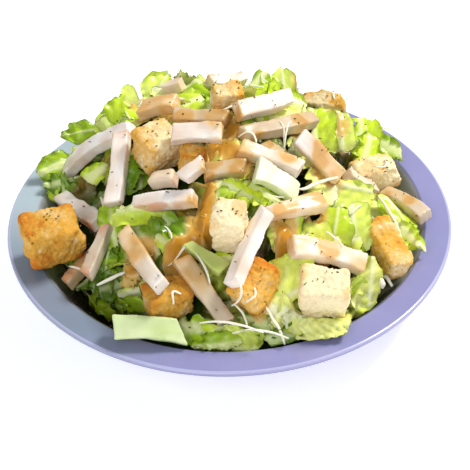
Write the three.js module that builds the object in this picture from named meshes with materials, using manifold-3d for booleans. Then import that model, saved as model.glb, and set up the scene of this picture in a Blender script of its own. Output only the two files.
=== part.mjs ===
// Chicken Caesar salad in a wide-rimmed bowl: a heap of torn romaine with strips of roast chicken, croutons and
// thick pieces of romaine rib lying in it. Millimetres, +Z up. The origin is the centre of the bowl's foot, on the
// surface that it stands on, and -Y is the side that faces the diner.
import * as THREE from "three";
import { mergeVertices } from "three/addons/utils/BufferGeometryUtils.js";
import Module from "manifold-3d";

const wasm = await Module();
wasm.setup();

// ---- driving dimensions ----
const BOWL = {
  rimRadius: 132.5,
  wellRadius: 116.5, // inner edge of the flat rim
  floorRadius: 80, // where the flat floor turns up into the wall
  height: 36,
  floorTop: 6,
  wall: 4.2,
  lip: 1.6, // radius of the rounded outer edge
  footRadius: 72,
  footWidth: 5,
  footHeight: 2.5,
  segments: 40,
};
const HEAP = {
  peak: 93,
  edgeRadius: 112,
  dip: 13, // how far the heap draws back from the wall at each bare stretch
  dips: [
    { at: -5, spread: 32 },
    { at: 207, spread: 30 },
  ], // bearings in degrees from +X, anticlockwise
  fullness: 2.6, // exponent of the profile: 2 is a paraboloid, more is flatter on top
  lean: 10, // how much higher the far side lies than the near side
  lump: 2.4,
  brim: 3, // height of the blunt edge against the wall
  rings: 7,
  segments: 32,
};
const CLEARANCE = 0.55; // between food and bowl, and between one piece and the heap around it
const LEAF_THICKNESS = 1.8;
const CHICKEN_THICKNESS = 7.5;
const RIB_THICKNESS = 6;

const UP = new THREE.Vector3(0, 0, 1);
const radians = THREE.MathUtils.degToRad;
const lerp = THREE.MathUtils.lerp;

const MATERIALS = {
  bowl: new THREE.MeshStandardMaterial({ color: 0xa9acd8, roughness: 0.25, metalness: 0 }),
  romaine: new THREE.MeshStandardMaterial({ color: 0x9cc43c, roughness: 0.5, metalness: 0 }),
  rib: new THREE.MeshStandardMaterial({ color: 0xcfe3a2, roughness: 0.4, metalness: 0 }),
  chicken: new THREE.MeshStandardMaterial({ color: 0xe9d6cb, roughness: 0.55, metalness: 0 }),
  crouton: new THREE.MeshStandardMaterial({ color: 0xdcae5e, roughness: 0.85, metalness: 0 }),
};

// ---- what lies in the heap ----
// Plan positions are [x, y]. A lift is how far a centre line lies above the heap's smooth surface.
// Strips run between two ends, [x, y, lift], with a width at each end.
const CHICKEN = [
  { ends: [[-99, 34, 5], [-55, 12, 6]], widths: [12, 9], roll: 25 },
  { ends: [[-60, 2, 15], [-65, -34, 13]], widths: [9, 9], roll: 8 },
  { ends: [[-100, 8, 5], [-74, -31, 6]], widths: [9, 10], roll: 20 },
  { ends: [[-68, -41, 10], [-79, -69, 12]], widths: [6, 7], roll: 10 },
  { ends: [[-75, -38.8, -1.8], [-92.4, -58.4, -3.8]], widths: [7, 7], roll: 15 },
  { ends: [[-52, -38, 5], [-18, -51, 6]], widths: [8, 9], roll: 20 },
  { ends: [[-42, -29, 4], [-29, -35, 5]], widths: [8, 8], roll: 10 },
  { ends: [[-30, -16, 17], [-3, -19, 15]], widths: [10, 10], roll: 38 },
  { ends: [[-30, 14, 4], [0, 5, 5]], widths: [9, 8], roll: 20 },
  { ends: [[6, 4, 11], [37, 26, 10]], widths: [11, 9], roll: 30 },
  { ends: [[9, -9, 5], [51, 20, 5]], widths: [8, 9], roll: 15 },
  { ends: [[20, -12, 0], [31, -18, 0]], widths: [7, 7], roll: 0 },
  { ends: [[40, -11, 12], [62, -24, 9]], widths: [10, 10], roll: 35 },
  { ends: [[7, -22, 7], [40, -31, 7]], widths: [9, 8], roll: 15 },
  { ends: [[-13, -36, 5], [9, -33, 4]], widths: [9, 8], roll: 25 },
  { ends: [[20, -62, 8], [51, -48, 9]], widths: [7, 10], roll: 20 },
  { ends: [[20, -68, 20], [1, -99, 20]], widths: [7, 8], roll: 30 },
  { ends: [[-57, -53, 10], [-36, -98, 29]], widths: [9, 9], roll: 25 },
  { ends: [[-26, -80, 9], [-3, -107, 10]], widths: [9, 9], roll: 20 },
  { ends: [[32, -76, 9], [72, -69, 10]], widths: [11, 11], roll: 25 },
  { ends: [[94, 7, 11], [114.5, -21, 8]], widths: [8, 9], roll: 10 },
  { ends: [[69, -10, 5], [86, 2, 6]], widths: [8, 8], roll: 20 },
  { ends: [[-10, 52, 6], [11, 62, 7]], widths: [8, 7], roll: 20 },
  { ends: [[-36, 54, 8], [-26, 51, 8]], widths: [8, 7], roll: 0 },
  { ends: [[-25, -44, 13], [-13, -39, 15]], widths: [7, 8], roll: 20 },
  { ends: [[-50, 29, 6], [-29, 24, 6]], widths: [11, 10], roll: 10 },
  { ends: [[-33, 104, 2], [-17, 96, 1]], widths: [9, 9], roll: -20 },
  { ends: [[13, 88, 0], [19, 105, 2]], widths: [9, 8], roll: -15 },
  { ends: [[-77, 73, 1], [-69, 85, 1]], widths: [8, 9], roll: -10 },
  { ends: [[50, 94, 2], [71, 84, 3]], widths: [9, 8], roll: -10 },
];
// Croutons are rough cubes, turned about +Z and then tipped about their own long edge.
const CROUTONS = [
  { at: [-100, -41], lift: 17.5, size: [31, 23, 25], turn: 20, tip: 8 },
  { at: [-40, -9], lift: 5, size: [22, 20, 20], turn: 35, tip: 12 },
  { at: [-19, -21], lift: 2, size: [14, 12, 12], turn: -10, tip: 0 },
  { at: [0, -69], lift: 9, size: [16, 19, 25], turn: -14, tip: 12 },
  { at: [12.6, -91], lift: 4, size: [16, 25, 16], turn: -38, tip: 20 },
  { at: [-33, -91.3], lift: 5, size: [21, 14.6, 15], turn: 22, tip: 5 },
  { at: [49.5, -92], lift: 13, size: [25, 20, 22], turn: -8, tip: 12 },
  { at: [88, -50.5], lift: 19, size: [14, 33, 14], turn: 28, tip: 19 },
  { at: [88, 16], lift: 8, size: [27, 16, 14], turn: 20, tip: 0 },
  { at: [60, 58], lift: 7, size: [26, 13, 11], turn: -5, tip: 5 },
  { at: [1, 27], lift: 6, size: [17, 13, 12], turn: 10, tip: 8 },
  { at: [-4, 101], lift: 5, size: [16, 15, 14], turn: 40, tip: -15 },
  { at: [-51, 91], lift: 3, size: [19, 16, 16], turn: -8, tip: -12 },
  { at: [34, 101], lift: 2, size: [14, 17, 13], turn: 62, tip: -10 },
];
// Thick cuts of romaine rib, run between two ends like the strips.
const RIBS = [
  { ends: [[-62, -106, 9], [-26, -108, 11]], widths: [12, 13], roll: 38, cuts: [-2, -7] },
  { ends: [[15, -37, 8], [37, -42, 0]], widths: [15, 12], roll: 15 },
  { ends: [[-23, -74, 9], [-3, -86, 6]], widths: [6, 9], roll: 15 },
];
// Leaves that stand out of the heap: the point at the middle of the leaf, its bearing and pitch in degrees, and
// its length, width, cup across and curl along.
const LEAVES = [
  { at: [-88, 62], lift: 6, bearing: 165, pitch: 8, length: 34, width: 20, cup: 5, curl: 3 },
  { at: [-72, 52], lift: 9, bearing: 120, pitch: 25, length: 30, width: 20, cup: 5, curl: -3 },
  { at: [-44, 58], lift: 8, bearing: 75, pitch: 28, length: 34, width: 26, cup: 5, curl: 4 },
  { at: [-14, 70], lift: 4, bearing: 95, pitch: 0, length: 30, width: 26, cup: 4, curl: 3 },
  { at: [30, 60], lift: 5, bearing: 80, pitch: 20, length: 26, width: 20, cup: 4, curl: 2 },
  { at: [76, 44], lift: 7, bearing: 50, pitch: 25, length: 36, width: 28, cup: 6, curl: 5 },
  { at: [94, 40], lift: 7, bearing: 15, pitch: 10, length: 32, width: 22, cup: 5, curl: 4 },
  { at: [92, -14], lift: 10, bearing: -20, pitch: -15, length: 34, width: 26, cup: 4, curl: 5 },
  { at: [76, -70], lift: 6, bearing: -55, pitch: -28, length: 30, width: 26, cup: 6, curl: 6 },
  { at: [52, -98], lift: 6, bearing: -70, pitch: -12, length: 26, width: 34, cup: 4, curl: 4 },
  { at: [4, -106], lift: 5, bearing: -95, pitch: -12, length: 22, width: 36, cup: 3, curl: 3 },
  { at: [-68, -76], lift: 6, bearing: -140, pitch: -25, length: 30, width: 26, cup: 5, curl: 4 },
  { at: [-102, 12], lift: 6, bearing: 178, pitch: -5, length: 32, width: 34, cup: 5, curl: 4 },
  { at: [0, 98], lift: 6, bearing: 90, pitch: -20, length: 34, width: 40, cup: 6, curl: 4 },
  { at: [-66, 80], lift: 6, bearing: 130, pitch: -15, length: 34, width: 36, cup: 6, curl: 4 },
  { at: [60, 82], lift: 6, bearing: 55, pitch: -15, length: 34, width: 36, cup: 6, curl: 4 },
];

// ---- shaping tools ----
/** A smooth, repeatable unevenness from -1 to 1 that differs for each seed. */
function wobble(x, y, z, seed) {
  const first = Math.sin(1.7 * x + 2.3 * y + 0.9 * z + 1.9 * seed);
  const second = Math.sin(-1.1 * x + 1.3 * y + 2.1 * z + 4.7 * seed);
  const third = Math.sin(2.9 * x - 0.7 * y - 1.6 * z + 7.3 * seed);
  return (first + second + third) / 3;
}

/** Moves every corner of a geometry with move(corner), which changes the Vector3 that it is given. */
function reshape(geometry, move) {
  geometry.deleteAttribute("normal");
  geometry.deleteAttribute("uv");
  const shaped = mergeVertices(geometry);
  const corners = shaped.getAttribute("position");
  const corner = new THREE.Vector3();
  for (let i = 0; i < corners.count; i++) {
    move(corner.fromBufferAttribute(corners, i));
    corners.setXYZ(i, corner.x, corner.y, corner.z);
  }
  shaped.computeVertexNormals();
  return shaped;
}

/** The geometry as a solid that can be joined to and cut from others. */
function solidOf(geometry) {
  const bare = geometry.clone();
  bare.deleteAttribute("normal");
  bare.deleteAttribute("uv");
  const merged = mergeVertices(bare, 1e-3);
  const corners = merged.index.array;
  const faces = [];
  for (let i = 0; i < corners.length; i += 3) {
    const [a, b, c] = corners.slice(i, i + 3);
    if (a !== b && b !== c && c !== a) faces.push(a, b, c);
  }
  return new wasm.Manifold(
    new wasm.Mesh({
      numProp: 3,
      vertProperties: merged.getAttribute("position").array,
      triVerts: new Uint32Array(faces),
    }),
  );
}

function geometryOf(solid) {
  const { vertProperties, triVerts } = solid.getMesh();
  const geometry = new THREE.BufferGeometry();
  geometry.setAttribute("position", new THREE.BufferAttribute(vertProperties, 3));
  geometry.setIndex(new THREE.BufferAttribute(triVerts, 1));
  geometry.computeVertexNormals();
  return geometry;
}

/** The largest separate body of a solid. */
function mainBody(solid) {
  return solid.decompose().reduce((best, body) => (body.volume() > best.volume() ? body : best));
}

// ---- the bowl ----
/** Height of the inside of the bowl at a distance from its axis: a flat floor and a parabolic wall. */
function wellHeight(radius) {
  const share = Math.max(0, radius - BOWL.floorRadius) / (BOWL.wellRadius - BOWL.floorRadius);
  return BOWL.floorTop + (BOWL.height - BOWL.floorTop) * share ** 2;
}

/** A lathed profile of [radius, height] points, stood up along +Z. */
function turned(profile, segments) {
  const points = profile.map(([radius, height]) => new THREE.Vector2(radius, height));
  return new THREE.LatheGeometry(points, segments).rotateX(Math.PI / 2);
}

function bowlProfile() {
  const { rimRadius, wellRadius, floorRadius, height, floorTop, wall, lip, footRadius, footWidth, footHeight } = BOWL;
  const wallSteps = 4;
  const inside = [];
  const outside = [];
  for (let i = 0; i <= wallSteps; i++) {
    const radius = lerp(floorRadius, wellRadius, i / wallSteps);
    inside.unshift([radius, wellHeight(radius)]);
    outside.push([radius + wall * 0.8, wellHeight(radius) - wall]);
  }
  const edge = [-90, 0, 90].map((angle) => [
    rimRadius - lip + lip * Math.cos(radians(angle)),
    height - lip + lip * Math.sin(radians(angle)),
  ]);
  return [
    [0, footHeight],
    [footRadius - footWidth, footHeight],
    [footRadius - footWidth, 0],
    [footRadius, 0],
    [footRadius + 1, footHeight - 0.5],
    ...outside,
    ...edge,
    ...inside,
    [0, floorTop],
  ];
}

function makeBowl() {
  const bowl = new THREE.Mesh(turned(bowlProfile(), BOWL.segments), MATERIALS.bowl);
  bowl.name = "bowl";
  return bowl;
}

// ---- the heap of romaine ----
/** Radius at which the heap meets the wall on a bearing in radians: it draws back at each bare stretch. */
function heapEdge(bearing) {
  return HEAP.dips.reduce((radius, { at, spread }) => {
    const away = bearing - radians(at);
    const turn = Math.atan2(Math.sin(away), Math.cos(away));
    return radius - HEAP.dip * Math.exp(-((turn / radians(spread)) ** 2));
  }, HEAP.edgeRadius);
}

/** Height of the heap's smooth surface over a plan position, and of the rim beyond the heap. */
function heapHeight(x, y) {
  const edge = heapEdge(Math.atan2(y, x));
  const share = Math.hypot(x, y) / edge;
  if (share > 1) return BOWL.height;
  const low = wellHeight(edge) + HEAP.brim;
  const dome = low + (HEAP.peak - low) * (1 - share ** HEAP.fullness);
  return dome + HEAP.lean * (y / HEAP.edgeRadius) * (1 - share ** 2);
}

/** A point above the heap's smooth surface. */
function overHeap([x, y, lift]) {
  return new THREE.Vector3(x, y, heapHeight(x, y) + lift);
}

/** The heap before anything is set into it: its underside follows the bowl, its top is lumpy. */
function moundGeometry() {
  const under = [[0, 0]];
  const over = [];
  const wallSteps = 4;
  for (let i = 0; i <= wallSteps; i++) {
    under.push([lerp(BOWL.floorRadius, HEAP.edgeRadius, i / wallSteps), 0]);
  }
  for (let i = 0; i <= HEAP.rings; i++) {
    over.push([HEAP.edgeRadius * (1 - i / HEAP.rings), 1]);
  }
  return reshape(turned([...under, ...over], HEAP.segments), (corner) => {
    const top = corner.z > 0.5;
    const squeeze = heapEdge(Math.atan2(corner.y, corner.x)) / HEAP.edgeRadius;
    corner.x *= squeeze;
    corner.y *= squeeze;
    const radius = Math.hypot(corner.x, corner.y);
    const inward = 1 - radius / (HEAP.edgeRadius * squeeze);
    const lump = HEAP.lump * wobble(corner.x / 9, corner.y / 9, 0, 3) * Math.min(1, 6 * inward);
    const floor = wellHeight(radius) + 2 * CLEARANCE;
    corner.z = top ? Math.max(heapHeight(corner.x * 0.999, corner.y * 0.999) + lump, floor + 1) : floor;
  });
}

/** A leaf's slab: blunt at its cut base, round at its tip, cupped, curled and ruffled along its margins. */
function leafGeometry({ length, width, cup, curl }, seed) {
  const slab = new THREE.BoxGeometry(length, width, LEAF_THICKNESS, 4, 3, 1);
  return reshape(slab, (corner) => {
    const along = corner.x / length + 0.5;
    const across = corner.y / (width / 2);
    corner.y *= 0.72 + 0.5 * Math.sin(Math.PI * Math.min(1, 0.15 + 0.75 * along));
    corner.z += cup * across ** 2 - curl * (2 * along - 1) ** 2;
    corner.z += 1.6 * across ** 2 * Math.sin(5 * along + 3 * across + seed);
  });
}

function placeLeaf(geometry, { at: [x, y], lift, bearing, pitch }) {
  const turn = new THREE.Euler(0, radians(-pitch), radians(bearing), "ZYX");
  const middle = overHeap([x, y, lift]);
  return geometry.applyMatrix4(
    new THREE.Matrix4().makeRotationFromEuler(turn).setPosition(middle),
  );
}

/** The heap with its standing leaves, hollowed for every piece that lies in it. */
function makeHeap(bowl, pieces) {
  let heap = solidOf(moundGeometry());
  LEAVES.forEach((leaf, i) => {
    heap = heap.add(solidOf(placeLeaf(leafGeometry(leaf, i), leaf)));
  });
  heap = heap.subtract(solidOf(bowl.geometry.clone().translate(0, 0, CLEARANCE)));
  for (const piece of pieces) heap = heap.subtract(solidOf(roomAround(piece)));
  const mesh = new THREE.Mesh(geometryOf(mainBody(heap).simplify(0.15)), MATERIALS.romaine);
  mesh.name = "romaine_heap";
  return mesh;
}

/** A piece's own shape, larger by the clearance on each side, where it lies. */
function roomAround(piece) {
  piece.geometry.computeBoundingBox();
  const size = piece.geometry.boundingBox.getSize(new THREE.Vector3());
  const room = piece.geometry.clone();
  room.scale(1 + (2 * CLEARANCE) / size.x, 1 + (2 * CLEARANCE) / size.y, 1 + (2 * CLEARANCE) / size.z);
  piece.updateMatrixWorld(true);
  return room.applyMatrix4(piece.matrixWorld);
}

// ---- pieces in the heap ----
/** Lays a mesh along the line between two points, then rolls it about that line. */
function layBetween(mesh, start, end, roll) {
  const along = end.clone().sub(start).normalize();
  const side = new THREE.Vector3().crossVectors(UP, along).normalize();
  const over = new THREE.Vector3().crossVectors(along, side);
  mesh.quaternion.setFromRotationMatrix(new THREE.Matrix4().makeBasis(along, side, over));
  mesh.rotateX(radians(roll));
  mesh.position.copy(start).add(end).multiplyScalar(0.5);
}

/** A cut bar with a width at each end and a slight bow. cuts is how far each end runs forward across its width. */
function barGeometry(length, [near, far], thickness, seed, cuts) {
  const bar = new THREE.BoxGeometry(length, 1, thickness, 4, 1, 1);
  return reshape(bar, (corner) => {
    const along = corner.x / length + 0.5;
    const fromMiddle = 2 * along - 1;
    const width = lerp(near, far, along) * (1 + 0.08 * Math.sin(6 * along + seed));
    const slant = cuts[fromMiddle < 0 ? 0 : 1] * fromMiddle ** 6;
    const bow = length * (1 - fromMiddle ** 2);
    corner.x += slant * corner.y;
    corner.y = corner.y * width + 0.04 * Math.sin(seed) * bow;
    corner.z += 0.05 * Math.sin(1.3 * seed) * bow;
  });
}

function makeBars(prefix, list, thickness, material) {
  return list.map(({ ends, widths, roll, cuts }, i) => {
    const seed = i + 1;
    const [start, end] = ends.map(overHeap);
    const slants = cuts ?? [3 * Math.sin(2.7 * seed), 3 * Math.sin(5.1 * seed)];
    const bar = new THREE.Mesh(barGeometry(start.distanceTo(end), widths, thickness, seed, slants), material);
    bar.name = `${prefix}_${String(seed).padStart(2, "0")}`;
    layBetween(bar, start, end, roll);
    return bar;
  });
}

/** A torn cube of bread with rounded corners and uneven faces. */
function croutonGeometry([length, width, height], seed) {
  return reshape(new THREE.BoxGeometry(1, 1, 1, 3, 3, 3), (corner) => {
    const ball = corner.clone().normalize().multiplyScalar(0.56);
    corner.lerp(ball, 0.3);
    corner.multiplyScalar(1 + 0.07 * wobble(2.4 * corner.x, 2.4 * corner.y, 2.4 * corner.z, seed));
    corner.set(corner.x * length, corner.y * width, corner.z * height);
  });
}

function makeCroutons() {
  return CROUTONS.map(({ at: [x, y], lift, size, turn, tip }, i) => {
    const crouton = new THREE.Mesh(croutonGeometry(size, i + 1), MATERIALS.crouton);
    crouton.name = `crouton_${String(i + 1).padStart(2, "0")}`;
    crouton.position.copy(overHeap([x, y, lift]));
    crouton.rotation.set(radians(tip), 0, radians(turn), "ZYX");
    return crouton;
  });
}

// ---- the whole salad ----
const bowl = makeBowl();
const pieces = [
  ...makeBars("chicken", CHICKEN, CHICKEN_THICKNESS, MATERIALS.chicken),
  ...makeCroutons(),
  ...makeBars("romaine_rib", RIBS, RIB_THICKNESS, MATERIALS.rib),
];
const salad = new THREE.Group();
salad.name = "chicken_caesar_salad";
salad.add(bowl, makeHeap(bowl, pieces), ...pieces);

export default salad;
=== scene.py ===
"""The looks of a chicken Caesar salad in a wide-rimmed bowl.

Everything is worked out in millimetres in the CAD model's frame, and turned into metres when a mesh is made.
-Y is the side that faces the camera and +Z is up.
"""
import math
from itertools import product

import bpy
import numpy as np
from mathutils import Matrix, Vector
from mathutils.bvhtree import BVHTree


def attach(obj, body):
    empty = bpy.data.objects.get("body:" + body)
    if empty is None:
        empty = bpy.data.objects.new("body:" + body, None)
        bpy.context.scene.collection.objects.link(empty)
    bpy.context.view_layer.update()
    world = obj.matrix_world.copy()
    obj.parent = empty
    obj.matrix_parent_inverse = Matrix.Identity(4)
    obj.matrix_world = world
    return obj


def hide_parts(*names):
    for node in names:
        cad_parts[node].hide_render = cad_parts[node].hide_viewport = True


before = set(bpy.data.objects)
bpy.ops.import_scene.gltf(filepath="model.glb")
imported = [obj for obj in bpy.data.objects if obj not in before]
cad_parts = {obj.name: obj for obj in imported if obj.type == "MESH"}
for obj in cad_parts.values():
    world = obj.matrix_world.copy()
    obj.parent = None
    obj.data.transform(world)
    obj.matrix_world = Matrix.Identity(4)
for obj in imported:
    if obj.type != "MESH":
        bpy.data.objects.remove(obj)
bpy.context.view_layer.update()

MM = 0.001

# ---- sizes shared with the CAD model, in millimetres ----
RIM_RADIUS = 132.5
WELL_RADIUS = 116.5
FLOOR_RADIUS = 80
FOOT_RADIUS = 72
WALL = 4.2
RIM_HEIGHT = 36
FLOOR_TOP = 6
HEAP_PEAK = 93
HEAP_EDGE = 112
# The heap's edge draws in by HEAP_DIP at these bearings, over a spread in degrees.
HEAP_DIP = 13
HEAP_DIPS = ((-5, 32), (207, 30))
# The power that makes the heap's dome full, how much higher its far side is, and its edge above the bowl.
HEAP_FULLNESS = 2.6
HEAP_LEAN = 10
HEAP_BRIM = 3
# How far leaves and their core stay off the bowl.
LEAF_GAP = 0.6


def smoothstep(low, high, x):
    t = np.clip((x - low) / (high - low), 0, 1)
    return t * t * (3 - 2 * t)


def mix(a, b, t):
    return a + (b - a) * t


def srgb(red, green, blue):
    """Linear light, as Blender wants it, of a colour given as it looks on a screen, 0 to 255."""
    c = np.array([red, green, blue]) / 255
    return np.where(c <= 0.04045, c / 12.92, ((c + 0.055) / 1.055) ** 2.4)


# ---- noise on arrays of points ----
# Keeps the borders of the noise's cells off round coordinates.
NOISE_SHIFT = 100.37


def lattice(cell, seed):
    """A number from 0 to 1 for each cell, always the same for the same cell and seed."""
    i, j, k = np.moveaxis(cell, -1, 0)
    h = i * 374761393 + j * 668265263 + k * 1103515245 + seed * 974634777
    h = (h ^ (h >> 13)) & 0xFFFFFFFF
    h = (h * 1274126177) & 0xFFFFFFFF
    return ((h ^ (h >> 16)) & 0xFFFF) / 65535


def noise(points, size, seed=0):
    """Smooth noise from -1 to 1 with features about size across."""
    q = np.asarray(points, float) / size + NOISE_SHIFT
    base = np.floor(q).astype(np.int64)
    f = q - base
    f = f * f * (3 - 2 * f)
    total = 0
    for step in product((0, 1), repeat=3):
        share = np.where(step, f, 1 - f)
        total = total + share[..., 0] * share[..., 1] * share[..., 2] * lattice(base + step, seed)
    return 2 * total - 1


def cells(points, size, seed=0):
    """Distance to the nearest of scattered centres, about size apart, as a share of size."""
    q = np.asarray(points, float) / size + NOISE_SHIFT
    base = np.floor(q).astype(np.int64)
    nearest = np.full(q.shape[:-1], 9.0)
    for step in product((-1, 0, 1), repeat=3):
        cell = base + step
        centre = cell + np.stack([lattice(cell, seed + more) for more in (0, 11, 23)], -1)
        nearest = np.minimum(nearest, np.linalg.norm(q - centre, axis=-1))
    return nearest


def flat(x, y, z=0.0):
    """Coordinates as points for the noise functions."""
    x, y, z = np.broadcast_arrays(x, y, z)
    return np.stack([x, y, z], -1)


# ---- meshes ----
def make_piece(name, verts, faces, material, slot, paint, replaces=(), uv=None, wet=None):
    """An object from arrays: verts in millimetres, and an array of faces for each number of corners.

    paint is a linear colour and wet a number for each vertex.
    """
    mesh = bpy.data.meshes.new(name)
    corners = np.concatenate([f.ravel() for f in faces])
    sizes = np.concatenate([np.full(len(f), f.shape[1]) for f in faces])
    mesh.vertices.add(len(verts))
    mesh.vertices.foreach_set("co", (verts * MM).astype(np.float32).ravel())
    mesh.loops.add(len(corners))
    mesh.loops.foreach_set("vertex_index", corners.astype(np.int32))
    mesh.polygons.add(len(sizes))
    mesh.polygons.foreach_set("loop_start", (np.cumsum(sizes) - sizes).astype(np.int32))
    mesh.update(calc_edges=True)
    mesh.validate()
    colour = np.hstack([paint, np.ones((len(paint), 1))]).astype(np.float32)
    mesh.attributes.new("paint", "FLOAT_COLOR", "POINT").data.foreach_set("color", colour.ravel())
    if wet is not None:
        mesh.attributes.new("wet", "FLOAT", "POINT").data.foreach_set("value", wet.astype(np.float32))
    if uv is not None:
        mesh.uv_layers.new(name="grain").uv.foreach_set("vector", uv[corners].astype(np.float32).ravel())
    mesh.polygons.foreach_set("use_smooth", np.ones(len(sizes), bool))
    mesh.materials.append(material)
    piece = bpy.data.objects.new(name, mesh)
    bpy.context.scene.collection.objects.link(piece)
    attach(piece, "root")
    if replaces:
        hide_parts(*replaces)
    return piece


class Gather:
    """Collects many small meshes into one."""

    def __init__(self):
        self.arrays = {}
        self.count = 0

    def add(self, verts, faces, paint, **values):
        for key, array in {"verts": verts, "faces": faces + self.count, "paint": paint, **values}.items():
            self.arrays.setdefault(key, []).append(array)
        self.count += len(verts)

    def make(self, name, material, slot, replaces=()):
        joined = {key: np.concatenate(arrays) for key, arrays in self.arrays.items()}
        faces = [joined.pop("faces")]
        make_piece(name, faces=faces, material=material, slot=slot, replaces=replaces, **joined)


def grid_faces(rows, columns, wrap=False):
    """Quads between neighbouring rows and columns of points; wrap joins the last column to the first."""
    r = np.arange(rows - 1)[:, None]
    c = np.arange(columns if wrap else columns - 1)[None, :]
    here = r * columns + c
    right = r * columns + (c + 1) % columns
    return np.stack([here, here + columns, right + columns, right], -1).reshape(-1, 4)


def shell(top, bottom):
    """A closed sheet from two grids of points of the same shape: verts and quads.

    Its two large faces point inward and its rim outward, which is a known fault.
    """
    rows, columns = top.shape[:2]
    count = rows * columns
    quads = grid_faces(rows, columns)
    index = np.arange(count).reshape(rows, columns)
    loop = np.concatenate([index[0, :-1], index[:-1, -1], index[-1, :0:-1], index[:0:-1, 0]])
    after = np.roll(loop, -1)
    side = np.stack([loop, loop + count, after + count, after], -1)
    verts = np.concatenate([top.reshape(-1, 3), bottom.reshape(-1, 3)])
    return verts, np.concatenate([quads[:, ::-1], quads + count, side[:, ::-1]])


# ---- materials ----
def add_node(tree, kind, inputs, **settings):
    """A shader node; inputs gives a plain value or another node's socket for each of its sockets."""
    node = tree.nodes.new("ShaderNode" + kind)
    for setting, value in settings.items():
        setattr(node, setting, value)
    fill_inputs(tree, node, inputs)
    return node.outputs


def fill_inputs(tree, node, inputs):
    """Gives a node's sockets their plain values or links."""
    for socket, value in inputs.items():
        if isinstance(value, bpy.types.NodeSocket):
            tree.links.new(value, node.inputs[socket])
        else:
            node.inputs[socket].default_value = value


def plain(name, shader):
    """A material with plain values on its shader, and its tree and shader node."""
    material = bpy.data.materials.new(name)
    material.use_nodes = True
    tree = material.node_tree
    principled = tree.nodes["Principled BSDF"]
    fill_inputs(tree, principled, shader)
    return material, tree, principled


def textured(name, texture, scale, bump, distance, shader, tint, stretch=None, detail=3.0):
    """Painted by the "paint" attribute, which a noise makes lighter and darker, with a fine relief.

    shader holds plain values for the Principled sockets; tint is the darkest and lightest share of the paint.
    """
    material, tree, principled = plain(name, shader)
    place = add_node(tree, "TexCoord", {})[texture]
    if stretch:
        place = add_node(tree, "Mapping", {"Scale": stretch, "Vector": place})["Vector"]
    grain = add_node(tree, "TexNoise", {"Scale": scale, "Detail": detail, "Vector": place})["Fac"]
    paint = add_node(tree, "Attribute", {}, attribute_name="paint")["Color"]
    reach = {"From Min": 0.3, "From Max": 0.7, "To Min": tint[0], "To Max": tint[1]}
    shade = add_node(tree, "MapRange", {**reach, "Value": grain})["Result"]
    colour = add_node(tree, "VectorMath", {0: paint, "Scale": shade}, operation="SCALE")["Vector"]
    relief = add_node(tree, "Bump", {"Strength": bump, "Distance": distance * MM, "Height": grain})["Normal"]
    fill_inputs(tree, principled, {"Base Color": colour, "Normal": relief})
    return material


def add_gloss(material, wet, dry):
    """Roughness that follows the "wet" attribute."""
    tree = material.node_tree
    wetness = add_node(tree, "Attribute", {}, attribute_name="wet")["Fac"]
    rough = add_node(tree, "MapRange", {"To Min": dry, "To Max": wet, "Value": wetness})["Result"]
    fill_inputs(tree, tree.nodes["Principled BSDF"], {"Roughness": rough})


def add_specks(material, size, share, colour):
    """Small specks of one colour, about size across, mixed into the base colour at a share of the places."""
    tree = material.node_tree
    principled = tree.nodes["Principled BSDF"]
    base = principled.inputs["Base Color"].links[0].from_socket
    place = add_node(tree, "TexCoord", {})["Object"]
    spots = add_node(tree, "TexVoronoi", {"Scale": 1 / (size * 3.2 * MM), "Vector": place})
    reach = {"From Min": 0.22, "From Max": 0.12}
    near = add_node(tree, "MapRange", {**reach, "Value": spots["Distance"]})["Result"]
    dice = add_node(tree, "SeparateColor", {"Color": spots["Color"]})["Red"]
    some = add_node(tree, "Math", {0: dice, 1: share}, operation="LESS_THAN")["Value"]
    both = add_node(tree, "Math", {0: near, 1: some}, operation="MULTIPLY")["Value"]
    blend = add_node(tree, "Mix", {"Factor": both, "A": base, "B": (*colour, 1)}, data_type="RGBA")["Result"]
    fill_inputs(tree, principled, {"Base Color": blend})


def translucent(weight, radius, scale=0.002):
    """Values for light that passes under a surface."""
    return {"Subsurface Weight": weight, "Subsurface Radius": radius, "Subsurface Scale": scale}


GLAZE = textured(
    "lavender_glaze", "Object", 30, 0.03, 0.3,
    {"Roughness": 0.22, "Coat Weight": 0.3, "Coat Roughness": 0.08, "IOR": 1.5},
    tint=(0.97, 1.03),
)
LEAF = textured(
    "romaine_leaf", "UV", 0.7, 0.3, 0.2,
    {"Roughness": 0.3, "Specular IOR Level": 0.3, "Coat Weight": 0.22, "Coat Roughness": 0.12,
     **translucent(0.15, (0.8, 1.0, 0.25))},
    tint=(0.93, 1.06),
)
RIB = textured(
    "romaine_rib", "UV", 0.12, 0.1, 0.2,
    {"Roughness": 0.3, "Specular IOR Level": 0.35, **translucent(0.4, (0.8, 1.0, 0.4), 0.003)},
    tint=(0.93, 1.05),
)
CHICKEN = textured(
    "roast_chicken", "UV", 0.5, 0.15, 0.25,
    {"Specular IOR Level": 0.35, "Coat Weight": 0.15, "Coat Roughness": 0.15,
     **translucent(0.2, (1.0, 0.5, 0.3))},
    tint=(0.96, 1.03), stretch=(0.4, 1.2, 1.2), detail=5.0,
)
add_gloss(CHICKEN, 0.22, 0.5)
BREAD = textured(
    "toasted_bread", "Object", 950, 0.9, 0.55,
    {"Roughness": 0.85, "Specular IOR Level": 0.12, **translucent(0.1, (1.0, 0.6, 0.25))},
    tint=(0.9, 1.1), detail=5.0,
)
add_specks(BREAD, 1.3, 0.07, srgb(110, 80, 26))
CHEESE = textured(
    "hard_cheese", "Object", 400, 0.2, 0.2,
    {"Roughness": 0.5, **translucent(0.4, (1.0, 0.8, 0.5))},
    tint=(0.95, 1.03),
)
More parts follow.
